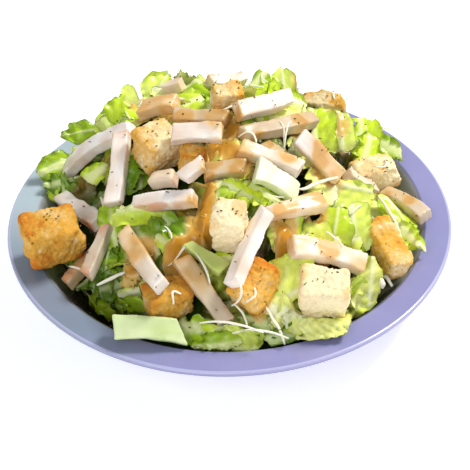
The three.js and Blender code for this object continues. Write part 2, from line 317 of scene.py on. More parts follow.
SAUCE = textured(
    "caesar_dressing", "Object", 260, 0.1, 0.2,
    {"Roughness": 0.14, "IOR": 1.4, "Transmission Weight": 0.3, **translucent(0.25, (1.0, 0.6, 0.3))},
    tint=(0.9, 1.06),
)
HERB = textured("dried_herb", "Object", 900, 0.2, 0.2, {"Roughness": 0.7}, tint=(0.7, 1.2))
CORE = textured(
    "leaf_shadow", "Object", 90, 0.8, 2.0, {"Roughness": 0.8, "Specular IOR Level": 0.05}, tint=(0.5, 1.2)
)


# ---- the shapes that everything lies on ----
def well_height(radius):
    """Height of the bowl's upper side, out to the rim."""
    share = (np.clip(radius, FLOOR_RADIUS, WELL_RADIUS) - FLOOR_RADIUS) / (WELL_RADIUS - FLOOR_RADIUS)
    return FLOOR_TOP + (RIM_HEIGHT - FLOOR_TOP) * share**2


def heap_edge(bearing):
    """Radius of the heap's edge at a bearing in radians."""
    radius = HEAP_EDGE
    for at, spread in HEAP_DIPS:
        turn = (bearing - math.radians(at) + math.pi) % (2 * math.pi) - math.pi
        radius = radius - HEAP_DIP * np.exp(-((turn / math.radians(spread)) ** 2))
    return radius


def heap_height(x, y):
    """Height of the heap's smooth surface, and of the bowl beyond its edge."""
    edge = heap_edge(np.arctan2(y, x))
    share = np.hypot(x, y) / edge
    low = well_height(edge) + HEAP_BRIM
    inside = np.minimum(share, 1)
    dome = low + (HEAP_PEAK - low) * (1 - inside**HEAP_FULLNESS)
    dome = dome + HEAP_LEAN * (y / HEAP_EDGE) * (1 - inside**2)
    return np.where(share > 1, np.maximum(well_height(np.hypot(x, y)), low), dome)


def heap_normal(x, y):
    """The heap's normal at a plan position."""
    step = 3.0
    slope_x = (heap_height(x + step, y) - heap_height(x - step, y)) / (2 * step)
    slope_y = (heap_height(x, y + step) - heap_height(x, y - step)) / (2 * step)
    normal = np.array([-slope_x, -slope_y, 1.0])
    return normal / np.linalg.norm(normal)


def node_mesh(name):
    """Corners in millimetres and triangles of a CAD node."""
    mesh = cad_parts[name].data
    mesh.calc_loop_triangles()
    verts = np.array([v.co for v in mesh.vertices]).reshape(-1, 3) / MM
    return verts, np.array([t.vertices for t in mesh.loop_triangles])


NODE_NAMES = sorted(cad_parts)
CHICKEN_NODES = [n for n in NODE_NAMES if n.startswith("chicken_")]
CROUTON_NODES = [n for n in NODE_NAMES if n.startswith("crouton_")]
RIB_NODES = [n for n in NODE_NAMES if n.startswith("romaine_rib_")]


def tree_of(meshes):
    """A tree that finds where rays hit any of the meshes."""
    verts, faces, count = [], [], 0
    for v, f in meshes:
        verts.extend(map(tuple, v))
        faces.extend(tuple(int(i) + count for i in face) for face in f)
        count += len(v)
    return BVHTree.FromPolygons(verts, faces)


# Maps are grids of 1 mm cells over the plan.
GRID_HALF = 140
GRID_LINE = np.arange(-GRID_HALF, GRID_HALF + 1)
GRID_X, GRID_Y = np.meshgrid(GRID_LINE, GRID_LINE, indexing="ij")
# How far from a topping leaves are pressed down, and how steeply they rise from it, near it and further off.
PRESS_REACH = 10
PRESS_NEAR = 4
PRESS_SLOPES = (0.7, 2.6)
# Toppings lie within this radius. NO_LIMIT is a height or radius beyond everything.
TOPPINGS_REACH = 125
NO_LIMIT = 400.0
TOPPING_TREE = tree_of([node_mesh(n) for n in CHICKEN_NODES + CROUTON_NODES + RIB_NODES])


def shifts(grid, reach):
    """Pairs of a distance in cells and the grid moved by it, for all moves within reach, row by row."""
    steps = range(-reach, reach + 1)
    return [(math.hypot(i, j), np.roll(grid, (i, j), (0, 1))) for i in steps for j in steps]


def press_map():
    """The height that leaves stay under so that toppings lie on them."""
    ceiling = np.full(GRID_X.shape, NO_LIMIT)
    for i, j in np.argwhere(GRID_X**2 + GRID_Y**2 <= TOPPINGS_REACH**2):
        under = Vector((i - GRID_HALF, j - GRID_HALF, -5))
        hit = TOPPING_TREE.ray_cast(under, Vector((0, 0, 1)))[0]
        if hit:
            ceiling[i, j] = hit.z
    for step in range(PRESS_REACH):
        slope = PRESS_SLOPES[0] if step < PRESS_NEAR else PRESS_SLOPES[1]
        ceiling = np.min([moved + slope * away for away, moved in shifts(ceiling, 1)], 0)
    return ceiling


def sample(grid, x, y):
    """Bilinear value of a 1 mm grid at points in millimetres."""
    gx = np.clip(x + GRID_HALF, 0, 2 * GRID_HALF - 1.001)
    gy = np.clip(y + GRID_HALF, 0, 2 * GRID_HALF - 1.001)
    i, j = gx.astype(int), gy.astype(int)
    fx, fy = gx - i, gy - j
    low = mix(grid[i, j], grid[i + 1, j], fx)
    high = mix(grid[i, j + 1], grid[i + 1, j + 1], fx)
    return mix(low, high, fy)


PRESS = press_map()


# ---- dressing ----
# Plan x, y and radius of the drops along its flow, which have a body, and of places that it only coats.
POURED = (
    (-33, 17, 5), (-27, 21, 4), (-5, 15, 7), (1, 5, 7), (5, -1, 6), (-7, -9, 6), (-2, -15, 7),
    (5, -22, 6.5), (10, -28, 5), (-10, -30, 4.5), (-10, -42, 4.5), (-12, -49, 5), (-13, -55, 5.5),
    (-14, -61, 6), (-17, -65, 6), (-21, -70, 5), (-26, -71, 4.5), (-31, -72, 4.5), (58, -10, 5),
    (28, -64, 5), (31, -69, 5), (28, -74, 4.5), (-49, -69, 5), (-54, -72, 5), (-26, -80, 4),
)
COATED = (
    (-42, 27, 13), (-24, 10, 8), (-4, -12, 10), (8, -26, 9), (-8, -31, 9), (20, -14, 7), (34, -24, 8),
    (56, -19, 11), (47, -50, 8), (41, 8, 6), (0, 28, 8), (30, -62, 8), (52, -72, 8), (-49, -64, 10),
    (-26, -80, 8), (-14, -58, 12), (108, -6, 8), (67, 32, 8), (-97, -50, 4), (14, -98, 6), (7, -69, 8),
    (86, 12, 9), (-60, 88, 9), (-12, 72, 9), (34, 76, 8), (48, 62, 8), (-57, 50, 6), (-30, 90, 7),
)


def pour_at(points):
    """Over 0 where dressing lies, and up to about 1 in the middle of a flow."""
    total = np.zeros(points.shape[:-1])
    for x, y, radius in POURED:
        away = ((points[..., 0] - x) ** 2 + (points[..., 1] - y) ** 2) / radius**2
        total = total + np.exp(-away)
    plan = flat(points[..., 0], points[..., 1])
    return total - 0.45 + 0.28 * noise(plan, 8, 31) + 0.14 * noise(plan, 3.2, 32)


def dressing_at(points):
    """How much dressing lies on points, 0 to 1: a film around the poured drops and over the coated places."""
    plan = flat(points[..., 0], points[..., 1])
    coat = np.full(points.shape[:-1], -1.0)
    for x, y, radius in COATED:
        coat = np.maximum(coat, 1 - np.hypot(points[..., 0] - x, points[..., 1] - y) / radius)
    coat = coat + 0.22 * noise(plan, 9, 33) + 0.08 * noise(plan, 3, 34)
    return np.maximum(smoothstep(-0.3, 0.4, pour_at(points)), smoothstep(-0.12, 0.4, coat))


THIN_SAUCE = srgb(242, 208, 146)
THICK_SAUCE = srgb(222, 168, 84)


def dress(colour, amount, strength=1.0):
    """Colours with dressing over them: pale where it is thin and tan where it is thick."""
    amount = amount[..., None]
    sauce = mix(THIN_SAUCE, THICK_SAUCE, smoothstep(0.35, 1.0, amount))
    return mix(colour, sauce, strength * smoothstep(0, 0.9, amount))


# ---- the bowl ----
def capped(rings, start, end):
    """A closed body from rings of points, with a point at either end: verts, and quads and triangles."""
    rows, turns = rings.shape[:2]
    first = np.arange(turns)
    last = first + (rows - 1) * turns
    tip = np.full(turns, rows * turns)
    fans = [np.stack([first, np.roll(first, -1), tip], -1), np.stack([np.roll(last, -1), last, tip + 1], -1)]
    verts = np.vstack([rings.reshape(-1, 3), start, end])
    return verts, [grid_faces(rows, turns, wrap=True), np.concatenate(fans)]


def bend(x, z, radius, start, end, count):
    """Points of a profile along an arc about x, z, from one angle to another."""
    angles = np.radians(np.linspace(start, end, count))
    return list(zip(x + radius * np.cos(angles), z + radius * np.sin(angles)))


def make_bowl():
    lip = 1.6
    corner = 1.2
    foot = FOOT_RADIUS
    # The profile runs from the middle of the underside out, over the rim and back in.
    points = [(0, 2.5), (foot - 6.2, 2.5), (foot - 5, 1.6), (foot - 5, 0.5), (foot - 4.5, 0)]
    points += [(foot - 0.5, 0), (foot, 0.5), (foot + 0.4, 1.6), (foot + 2.5, 2.1)]
    for radius in np.linspace(FLOOR_RADIUS, WELL_RADIUS, 16):
        points.append((radius + 0.8 * WALL, well_height(radius) - WALL))
    points += bend(RIM_RADIUS - lip, RIM_HEIGHT - lip, lip, -90, 90, 9)
    points += [(RIM_RADIUS - lip - 0.4, RIM_HEIGHT), (RIM_RADIUS - 6, RIM_HEIGHT)]
    points += bend(WELL_RADIUS + corner, RIM_HEIGHT - corner, corner, 90, 150, 4)
    for radius in np.linspace(WELL_RADIUS - 0.9, FLOOR_RADIUS, 22):
        points.append((radius, well_height(radius)))
    points += [(60, FLOOR_TOP), (30, FLOOR_TOP), (0, FLOOR_TOP)]
    profile = np.array(points)
    turns = 192
    angles = np.arange(turns) * 2 * math.pi / turns
    radius, height = profile[1:-1, :1], profile[1:-1, 1:]
    rings = flat(radius * np.cos(angles), radius * np.sin(angles), height)
    verts, faces = capped(rings, [0, 0, profile[0, 1]], [0, 0, profile[-1, 1]])
    radius = np.hypot(verts[:, 0], verts[:, 1])
    # The glaze is lavender, and is painted teal to the left as a painted reflection.
    left = smoothstep(15, 80, -verts[:, 0]) * smoothstep(-140, -95, verts[:, 1])
    reflection_teal = mix(srgb(126, 140, 160), srgb(174, 190, 200), smoothstep(-60, 20, verts[:, 1])[:, None])
    colour = mix(srgb(140, 140, 188), reflection_teal, left[:, None])
    # The lip has a painted highlight above and painted shade below.
    tilt = (verts[:, 2] - (RIM_HEIGHT - lip)) / lip
    edge = (radius > RIM_RADIUS - lip - 0.1)[:, None]
    colour = mix(colour, srgb(196, 196, 232), 0.6 * edge * smoothstep(0.1, 0.7, tilt)[:, None])
    colour = mix(colour, srgb(64, 64, 100), 0.85 * edge * smoothstep(0.05, -0.5, tilt)[:, None])
    # The well is painted darker the deeper it is, and most of all to the near left, as painted shade.
    inside = (radius < WELL_RADIUS - 0.3) & (verts[:, 2] > well_height(radius) - 1)
    depth = smoothstep(RIM_HEIGHT + 1, RIM_HEIGHT - 16, verts[:, 2])
    near_left = smoothstep(-20, 20, -verts[:, 0] - 0.6 * verts[:, 1])
    # Grey near the rim and olive deep down: painted shade, and a painted reflection of the leaves.
    well_shade = mix(srgb(120, 118, 92), srgb(64, 62, 36), near_left[:, None])
    colour = mix(colour, mix(srgb(166, 166, 176), well_shade, depth[:, None]), inside[:, None])
    bowl = make_piece("salad_bowl", verts, [f[:, ::-1] for f in faces], GLAZE, "bowl", colour)
    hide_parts("bowl")


make_bowl()


# ---- the dark core of the heap, painted dark as the shade between the leaves ----
CORE_INSET = 5


def core_top(x, y):
    """Height of the core's upper side, which lies below the leaves and the toppings."""
    lump = 2.5 * noise(flat(x, y), 14, 3) + 1.5 * noise(flat(x, y), 6, 4)
    return np.minimum(heap_height(x, y) - 11 + lump, sample(PRESS, x, y) - 2)


def make_core():
    rings, turns = 46, 120
    angle = np.arange(turns) * 2 * math.pi / turns
    radius = np.linspace(0.02, 1, rings)[:, None] * (heap_edge(angle) - CORE_INSET)
    x, y = radius * np.cos(angle), radius * np.sin(angle)
    floor = well_height(radius) + LEAF_GAP
    top = np.maximum(core_top(x, y), floor + 0.5)
    over_and_under = np.concatenate([flat(x, y, top), flat(x, y, floor)[::-1]])
    verts, faces = capped(over_and_under, [0, 0, top[0].mean()], [0, 0, FLOOR_TOP + LEAF_GAP])
    # The core is painted dark green, as the shade down between the leaves.
    paint = np.tile(srgb(44, 66, 8), (len(verts), 1))
    core = make_piece("romaine_core", verts, faces, CORE, "romaine", paint)
    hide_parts("romaine_heap")


make_core()

# ---- leaves ----
# Each kind: body colour, vein and rib colour, margin colour.
KINDS = {
    "dark": (srgb(102, 140, 6), srgb(168, 196, 66), srgb(76, 110, 4)),
    "mid": (srgb(158, 192, 24), srgb(208, 222, 98), srgb(128, 166, 12)),
    "bright": (srgb(196, 222, 50), srgb(226, 236, 126), srgb(166, 204, 24)),
    "pale": (srgb(214, 230, 100), srgb(238, 242, 172), srgb(196, 220, 62)),
    "heart": (srgb(230, 236, 134), srgb(244, 246, 194), srgb(216, 228, 90)),
}
# How far apart the points of scattered leaves and of listed ones are.
LEAF_STEP = 1.25
HAND_STEP = 1.1
# Painted shade: how much of their colour leaves keep deep in the heap.
DEEP_SHADE = 0.34
# Painted shade: how much of their colour they keep at the bowl's wall, near left, where the heap leaves a
# gap.
GAP_SHADE = 0.52
# The colour of leaves soaked in dressing, down in the heap.
SOAKED = srgb(158, 112, 16)


def soaked(points):
    """How far leaves are soaked, 0 to 1, by plan position."""
    return smoothstep(-0.15, 0.4, noise(points * [1, 1, 0], 18, 51))


def leaf_shape(
    rng, length, width, tip="cut", rib=0.0, rib_width=4.0, curl=0.4, cup=0.3, twist=0.0, ruffle=1.5,
    blister=1.0, veins=8.5, step=LEAF_STEP,
):
    """One torn or cut piece of leaf, lying along X with its upper side up.

    rib is where the midrib runs, as a share of the half width. curl and cup are the angles in radians that
    the piece bends through along and across. ruffle is how high its edge waves, and blister how high it is
    lumped between its side veins, which are veins millimetres apart. Returns the middle surface and what is
    on it.
    """
    seed = int(rng.integers(1, 10**6))
    rows = max(10, int(length / step))
    columns = max(9, int(width / step))
    u, v = np.meshgrid(np.linspace(0, 1, rows), np.linspace(-1, 1, columns), indexing="ij")
    if tip == "round":
        profile = np.sqrt(np.clip(1 - (np.clip(u - 0.35, 0, 1) / 0.66) ** 2.4, 0.02, 1))
        profile = profile * (0.75 + 0.25 * smoothstep(0, 0.4, u))
        natural = np.maximum(np.abs(v), smoothstep(0.5, 1.0, u))
    elif tip == "wedge":
        profile = 0.45 + 0.6 * u
        natural = np.maximum(np.abs(v) * 0.6, smoothstep(0.6, 1.0, u))
    else:
        profile = 1 + 0.12 * np.sin(2.6 * u + seed)
        natural = np.clip(v * np.sign(math.sin(seed)), 0, 1)
    slant = rng.uniform(-0.45, 0.45, 2)
    sides = flat(u * length, np.sign(v) * 40)
    wave = 1 + 0.09 * noise(sides, 7, seed) + 0.05 * noise(sides, 2.6, seed)
    # The corners are rounded off, and the outline is ragged.
    a, b = 2 * u - 1, v
    out = np.maximum(np.abs(a), np.abs(b))
    corner = out / ((np.abs(a) ** 4 + np.abs(b) ** 4) ** 0.25 + 1e-9)
    ring = flat(a / (out + 1e-9), b / (out + 1e-9), seed % 50)
    ragged = 1 + 0.12 * noise(ring, 0.9, seed) + 0.09 * noise(ring, 0.35, seed + 1)
    ragged = ragged + 0.07 * noise(ring, 0.16, seed + 2)
    shrink = mix(1, corner * ragged, out**3)
    u, v = 0.5 + 0.5 * a * shrink, b * shrink
    x = (u - 0.5) * length + (slant[0] * (1 - u) + (slant[1] * u if tip == "cut" else 0)) * v * width / 2
    x = x + natural**4 * smoothstep(0.7, 1, u) * noise(flat(v * width / 2, 7), 4.5, seed)
    y = v * width / 2 * profile * wave
    # The midrib, the side veins and the lumps between them.
    rib_y = rib * width / 2 * (1 - 0.3 * u)
    away = np.abs(y - rib_y)
    rib_reach = rib_width * (1.05 - 0.6 * u)
    rib_mask = np.exp(-((away / rib_reach) ** 2.4)) if rib_width > 0 else np.zeros_like(u)
    drift = noise(flat(x, y, seed % 97), 13, seed)
    order = (x * math.copysign(1, rng.random() - 0.2) - 0.8 * away) / veins + 0.5 * drift
    near_vein = np.abs(order - np.round(order))
    vein = np.exp(-((near_vein / 0.075) ** 2)) * (1 - rib_mask)
    pucker = np.sin(math.pi * (order - np.floor(order))) ** 0.7
    across = away / 6.0 + 0.5 * noise(flat(x, y, 50 + seed % 89), 9, seed)
    pucker = pucker * (0.5 + 0.5 * np.abs(np.cos(math.pi * across)))
    crinkle = 0.4 - np.abs(noise(flat(x, y, 33), 4.2, seed + 3)) + 0.4 * noise(flat(x, y, 34), 2.6, seed + 4)
    z = blister * (1.4 * (pucker - 0.4) + 0.9 * crinkle) * (1 - rib_mask)
    # The frilled edge.
    edge = natural**3
    along_edge = (x + 0.7 * y) / 10 + 0.7 * drift
    frill = 0.55 + 0.8 * noise(flat(x, y, 60), 7, seed + 6)
    wavy = np.sin(2 * math.pi * along_edge) + frill * np.sin(4.6 * math.pi * along_edge + seed)
    z = z + ruffle * edge * wavy
    z = z + 1.2 * noise(flat(x, y, 20), 16, seed)
    if cup:
        r = max(width / 2, 6) / cup
        z, y = r * (1 - np.cos(y / r)) + z * np.cos(y / r), r * np.sin(y / r) - z * np.sin(y / r)
    if twist:
        t = twist * (u - 0.5)
        y, z = y * np.cos(t) - z * np.sin(t), y * np.sin(t) + z * np.cos(t)
    if curl:
        r = length / curl
        a = x / r
        x, z = r * np.sin(a) + z * np.sin(a), z * np.cos(a) - r * (1 - np.cos(a))
    return {
        "points": flat(x, y, z), "u": u, "v": v, "out": out, "edge": edge, "rib": rib_mask, "vein": vein,
        "pucker": pucker, "crinkle": crinkle, "seed": seed, "length": length, "width": width,
    }


def turn_to(normal, bearing, pitch, roll):
    """Rotation whose X runs along a bearing over a surface; pitch lifts its X end, roll turns it about X."""
    a = math.radians(bearing)
    along = np.array([math.cos(a), math.sin(a), 0.0])
    along = along - normal * along.dot(normal)
    along /= np.linalg.norm(along)
    p, r = math.radians(-pitch), math.radians(roll)
    tip = np.array([[math.cos(p), 0, math.sin(p)], [0, 1, 0], [-math.sin(p), 0, math.cos(p)]])
    spin = np.array([[1, 0, 0], [0, math.cos(r), -math.sin(r)], [0, math.sin(r), math.cos(r)]])
    return np.stack([along, np.cross(normal, along), normal], 1) @ (tip @ spin)


# The camera looks down at this angle, and SIGHT points to it.
ELEVATION = math.radians(38.8)
SIGHT = np.array([0.0, -math.cos(ELEVATION), math.sin(ELEVATION)])


def turn_to_view(normal, turn, face):
    """Rotation whose X is seen from the front at a turn of so many degrees from level.

    face says how far the surface is turned from its own normal to the viewer, 0 to 1.
    """
    normal = normal * (1 - face) + SIGHT * face
    normal /= np.linalg.norm(normal)
    a = math.radians(turn)
    seen = np.array([math.cos(a), math.sin(a) * SIGHT[2], math.sin(a) * -SIGHT[1]])
    along = seen - SIGHT * (seen.dot(normal) / SIGHT.dot(normal))
    along /= np.linalg.norm(along)
    return np.stack([along, np.cross(normal, along), normal], 1)


def bearing_of(points):
    """Bearing of points in degrees, 0 to 360."""
    return np.degrees(np.arctan2(points[..., 1], points[..., 0])) % 360


def stay_in_bowl(points):
    """Draws points in to the bowl and lifts them off it. The heap leaves a gap at its near left."""
    radius = np.hypot(points[..., 0], points[..., 1])
    bearing = bearing_of(points)
    side = smoothstep(196, 206, bearing) * smoothstep(262, 250, bearing)
    limit = mix(NO_LIMIT, mix(105, 99, smoothstep(210, 240, bearing)), side)
    pulled = np.minimum(1, (limit + 0.2 * np.maximum(0, radius - limit)) / (radius + 1e-9))
    points[..., :2] *= pulled[..., None]
    radius = radius * pulled
    floor = well_height(radius) + LEAF_GAP
    z = points[..., 2]
    points[..., 2] = np.maximum(z, floor + 2 * np.exp(np.minimum(0, (z - floor - 2) / 4)))
    points[..., :2] /= np.maximum(1, radius / (RIM_RADIUS + 2))[..., None]
    return points


leaf_groups = {"dark": Gather(), "mid": Gather(), "bright": Gather(), "pale": Gather()}
GROUP_OF = {"dark": "dark", "mid": "mid", "bright": "bright", "pale": "pale", "heart": "pale"}
# A scattered leaf that would lie further than MOST_PRESSED over a topping is left out. So is one with more
# than MOST_HIDDEN of it in front of toppings, as the camera sees it, unless it lies beyond FAR_SIDE. A listed
# one stays, and isn't pressed if it lies PRESSABLE or more over a topping.
MOST_PRESSED = 14
MOST_HIDDEN = 0.16
FAR_SIDE = 30
PRESSABLE = 16
# How far behind a leaf a topping counts as hidden.
HIDING_REACH = 40


def hidden_share(middle):
    """The share of a leaf's points that stand in front of a topping."""
    points = middle[::4, ::4].reshape(-1, 3)
    away = Vector(tuple(-SIGHT))
    hits = [TOPPING_TREE.ray_cast(Vector(tuple(p)), away, HIDING_REACH)[0] is not None for p in points]
    return sum(hits) / len(hits)


def add_leaf(rng, kind, at, lift, bearing, pitch, roll, length, width, shade, **shape):
    """A leaf that lies on the heap."""
    x, y = at
    normal = heap_normal(x, y)
    centre = np.array([x, y, float(heap_height(x, y))]) + normal * lift
    leaf = leaf_shape(rng, length, width, **shape)
    middle = leaf["points"] @ turn_to(normal, bearing, pitch, roll).T + centre
    over = np.max(middle[..., 2] - sample(PRESS, middle[..., 0], middle[..., 1]))
    if over < MOST_PRESSED and (y > FAR_SIDE or hidden_share(middle) < MOST_HIDDEN):
        finish_leaf(rng, kind, leaf, middle, shade=shade)


def place_leaf(rng, kind, at, turn, face, length, width, tone=None, **shape):
    """A listed leaf: at is its centre, and it shows its upper side to the front."""
    leaf = leaf_shape(rng, length, width, step=HAND_STEP, **shape)
    middle = leaf["points"] @ turn_to_view(heap_normal(at[0], at[1]), turn, face).T + np.array(at, float)
    finish_leaf(rng, kind, leaf, middle, tone)


def finish_leaf(rng, kind, leaf, middle, tone=None, shade=1.0):
    """Presses a leaf under the toppings, keeps it in the bowl, gives it thickness and paints it."""
    length, width = leaf["length"], leaf["width"]
    over = np.maximum(0, middle[..., 2] - sample(PRESS, middle[..., 0], middle[..., 1]) + 0.5)
    soft = np.pad(over, 2, mode="edge")
    soft = sum(soft[i : i + over.shape[0], j : j + over.shape[1]] for i in range(5) for j in range(5)) / 25
    middle[..., 2] -= np.maximum(over, soft) * (over.max() < PRESSABLE)
    middle = stay_in_bowl(middle)
    normals = np.cross(*np.gradient(middle, axis=(0, 1)))
    normals /= np.linalg.norm(normals, axis=-1, keepdims=True) + 1e-9
    half = (0.22 + 1.0 * leaf["rib"])[..., None]
    half = half * (0.35 + 0.65 * smoothstep(0, 0.12, 1 - leaf["out"]))[..., None]
    verts, faces = shell(middle + normals * half, middle - normals * half)
    body, vein, margin = KINDS[kind]
    seed = leaf["seed"]
    tone = rng.uniform(-1, 1) if tone is None else tone
    flat_points = flat(leaf["u"] * length, leaf["v"] * width / 2)
    patch = noise(flat_points, 12, seed + 5)
    colour = mix(body, margin, smoothstep(0.2, 1.0, leaf["edge"])[..., None] * 0.8)
    # Painted light and shade: lighter on top of the lumps and darker between them, with tone and patches at
    # random.
    relief = 0.24 * (leaf["pucker"] - 0.55) + 0.12 * leaf["crinkle"]
    colour = colour * (1 + 0.10 * tone + 0.08 * patch + relief)[..., None]
    colour = mix(colour, vein, smoothstep(0.4, 0.0, leaf["u"])[..., None] * 0.35)
    colour = mix(colour, vein, 0.3 * leaf["vein"][..., None])
    colour = mix(colour, mix(vein, srgb(232, 238, 196), 0.5), smoothstep(0.15, 0.8, leaf["rib"])[..., None])
    paint = np.concatenate([colour.reshape(-1, 3), mix(colour, vein, 0.25).reshape(-1, 3)])
    uv = flat_points[..., :2].reshape(-1, 2) + seed % 1000
    depth = verts[:, 2] - heap_height(verts[:, 0], verts[:, 1])
    paint = mix(paint, SOAKED, (0.8 * smoothstep(-0.5, -4.5, depth) * soaked(verts))[:, None])
    # Painted shade: leaves are painted darker the deeper they lie under the heap's surface.
    paint = paint * mix(DEEP_SHADE, 1, smoothstep(-9, -0.5, depth))[:, None]
    # Painted shade at the bowl's wall, near left, where the heap leaves a gap.
    bearing = bearing_of(verts)
    in_gap = smoothstep(198, 208, bearing) * smoothstep(264, 254, bearing)
    in_gap = in_gap * smoothstep(84, 96, np.hypot(verts[:, 0], verts[:, 1])) * smoothstep(50, 42, verts[:, 2])
    paint = paint * mix(1, GAP_SHADE, in_gap)[:, None]
    paint = dress(paint * shade, dressing_at(verts), 0.75)
    leaf_groups[GROUP_OF[kind]].add(verts, faces, np.clip(paint, 0, 1), uv=np.tile(uv, (2, 1)))


def zone_kind(rng, x, y):
    """Which kind of leaf is likely at a plan position: darker to the left, yellower to the right."""
    green = 0.5 * math.exp(-(((x + 62) / 40) ** 2 + ((y + 38) / 42) ** 2))
    green += 0.35 * math.exp(-(((x + 10) / 26) ** 2 + ((y + 64) / 26) ** 2))
    yellow = 0.8 * math.exp(-(((x - 62) / 42) ** 2 + ((y + 8) / 60) ** 2))
    yellow += 0.5 * math.exp(-(((x - 40) / 40) ** 2 + ((y + 100) / 26) ** 2))
    value = 0.42 + yellow - green + rng.normal(0, 0.16)
    if value < 0.14:
        return "dark"
    if value < 0.42:
        return "mid"
    if value < 0.66:
        return "bright"
    return "pale" if value < 1.0 else "heart"


def fill_leaves(
    rng, count, shares, lift, tilt, lengths=(20, 38), widths=(15, 28), shade=1.0, frill=1.0, behind=-200
):
    """Scatters leaves over a ring of the heap, given as shares of its radius, where y is over behind."""
    golden = math.pi * (3 - math.sqrt(5))
    for i in range(count):
        share = math.sqrt(mix(shares[0] ** 2, shares[1] ** 2, (i + 0.5) / count))
        angle = i * golden + rng.normal(0, 0.15)
        reach = share * float(heap_edge(np.array(angle)))
        x, y = reach * math.cos(angle), reach * math.sin(angle)
        if y < behind:
            continue
        kind = zone_kind(rng, x, y)
        tip = rng.choice(["cut", "round", "round", "wedge"])
        add_leaf(
            rng, kind, (x, y), rng.uniform(*lift), math.degrees(angle) + rng.uniform(-110, 110),
            pitch=rng.normal(0, tilt), roll=rng.normal(0, tilt * 1.1),
            length=rng.uniform(*lengths), width=rng.uniform(*widths), shade=shade,
            tip=tip, rib=rng.choice([0.0, 0.8, -0.9, 1.5]), rib_width=rng.choice([1.2, 2.5, 4.5]),
            curl=rng.uniform(-0.3, 1.0), cup=rng.uniform(-0.6, 0.8), twist=rng.uniform(-0.5, 0.5),
            ruffle=frill * rng.uniform(0.8, 2.8), blister=rng.uniform(0.7, 1.6),
        )
